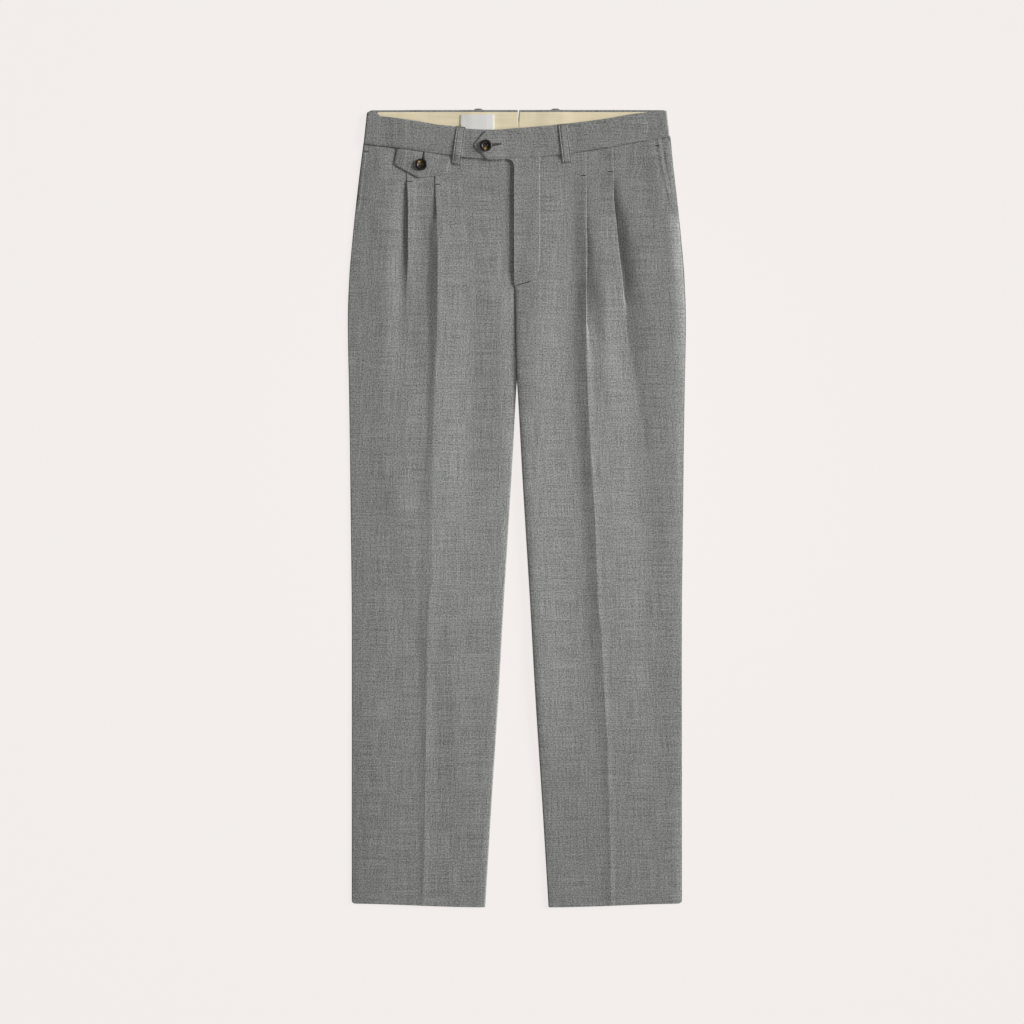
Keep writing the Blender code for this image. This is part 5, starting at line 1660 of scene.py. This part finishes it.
def button(name, middle, radius, base, rise, material):
    """A four-hole button: a turned outline with a sunken face, dimpled deeply at each hole."""
    share = graded(*BUTTON_RINGS)
    profile_radius, profile_height = along(BUTTON_OUTLINE, share)
    angle = np.linspace(0.0, 2.0 * math.pi, BUTTON_SIDES, endpoint=False)
    x = profile_radius[:, None] * radius * np.cos(angle)
    y = profile_radius[:, None] * radius * np.sin(angle)
    to_hole = np.hypot(np.abs(x) - HOLE_PLACE, np.abs(y) - HOLE_PLACE)
    on_top = (share < BUTTON_TOP)[:, None]
    hole = smooth((HOLE_RADIUS * HOLE_EDGE - to_hole) / (HOLE_RADIUS * HOLE_WALL)) * on_top
    height = profile_height[:, None] * rise - hole * rise * HOLE_DEPTH
    points = np.dstack([middle[0] + x, middle[1] - y, base + height])
    count, sides = points.shape[:2]
    index = np.arange(count * sides).reshape(count, sides)
    beside = np.roll(index, -1, axis=1)
    skin = quads(index[:-1], index[1:], beside[1:], beside[:-1])
    uv = np.stack(np.broadcast_arrays(angle / (2.0 * math.pi), share[:, None]), axis=-1).reshape(-1, 2)
    caps = np.stack([index[0], index[-1, ::-1]])
    return new_piece(name, to_frame(points).reshape(-1, 3), [skin, caps], material, uv)


def button_threads(middle, level):
    """Ends of the strands through a button's holes: two bars of three strands, side by side."""
    spread_out = STRAND_SPACING * np.array([-1.0, 0.0, 1.0])
    starts, ends = [], []
    for column in (-HOLE_PLACE, HOLE_PLACE):
        x = middle[0] + column + spread_out
        for ending, row in ((starts, -HOLE_PLACE), (ends, HOLE_PLACE)):
            ending.append(np.column_stack([x, np.full_like(x, middle[1] + row), np.full_like(x, level)]))
    return np.vstack(starts), np.vstack(ends)


class TROUSERS_OT_stage(bpy.types.Operator):
    """The pale floor, the soft light and the camera straight above"""

    bl_idname = "trousers.stage"
    bl_label = "Stage"

    def execute(self, context):
        settings = context.scene.trousers_stage
        mesh = bpy.data.meshes.new("floor")
        size, level = FLOOR_SIZE / 2, -FLOOR_DROP
        corners = [(-size, -size, level), (size, -size, level), (size, size, level), (-size, size, level)]
        mesh.from_pydata(corners, [], [(0, 1, 2, 3)])
        mesh.materials.append(paper(settings.floor))
        put("floor", mesh)

        key = bpy.data.lights.new("key", "SUN")
        key.energy = settings.key
        key.angle = settings.softness
        put("key", key).rotation_euler = (-Vector(KEY_FROM)).to_track_quat("-Z", "Y").to_euler()

        top = bpy.data.lights.new("top", "AREA")
        top.energy = settings.top
        top.size = TOP_SIZE
        softbox = put("top", top)
        softbox.location = TOP_PLACE
        softbox.visible_camera = False

        world = bpy.data.worlds.new("fill")
        world.use_nodes = True
        background = world.node_tree.nodes["Background"]
        background.inputs["Color"].default_value = (1.0, 1.0, 1.0, 1.0)
        background.inputs["Strength"].default_value = settings.fill
        context.scene.world = world

        camera = bpy.data.cameras.new("camera")
        camera.sensor_width = SENSOR
        camera.lens = SENSOR * settings.height / settings.view
        context.scene.camera = put("camera", camera)
        context.scene.camera.location = (*VIEW_MIDDLE, settings.height)
        context.scene.view_settings.view_transform = "Standard"
        return {"FINISHED"}


class TROUSERS_PT_panel(bpy.types.Panel):
    """Lists the operators and the settings"""

    bl_idname = "TROUSERS_PT_panel"
    bl_label = "Pleated Dress Trousers"
    bl_space_type = "VIEW_3D"
    bl_region_type = "UI"
    bl_category = "Trousers"

    def draw(self, context):
        for operator in OPERATORS:
            self.layout.operator(operator.bl_idname)
        for name, group in SETTINGS.items():
            box = self.layout.box()
            for key in group.__annotations__:
                box.prop(getattr(context.scene, name), key)


SETTINGS = {
    "trousers_cloth": TrousersCloth,
    "trousers_trim": TrousersTrim,
    "trousers_stage": TrousersStage,
}
OPERATORS = (
    TROUSERS_OT_back_panels,
    TROUSERS_OT_pocket_facings,
    TROUSERS_OT_front_panels,
    TROUSERS_OT_waistbands,
    TROUSERS_OT_lining,
    TROUSERS_OT_belt_loops,
    TROUSERS_OT_watch_flap,
    TROUSERS_OT_buttons,
    TROUSERS_OT_stage,
)
CLASSES = (*SETTINGS.values(), *OPERATORS, TROUSERS_PT_panel)


def register():
    """Adds the classes and the scene's settings."""
    for cls in CLASSES:
        bpy.utils.register_class(cls)
    for name, group in SETTINGS.items():
        setattr(bpy.types.Scene, name, PointerProperty(type=group))


def unregister():
    """Removes the scene's settings and the classes."""
    for name in SETTINGS:
        delattr(bpy.types.Scene, name)
    for cls in reversed(CLASSES):
        bpy.utils.unregister_class(cls)


def main():
    """Makes every piece."""
    register()
    for operator in OPERATORS:
        group, name = operator.bl_idname.split(".")
        getattr(getattr(bpy.ops, group), name)()


if __name__ == "__main__":
    main()
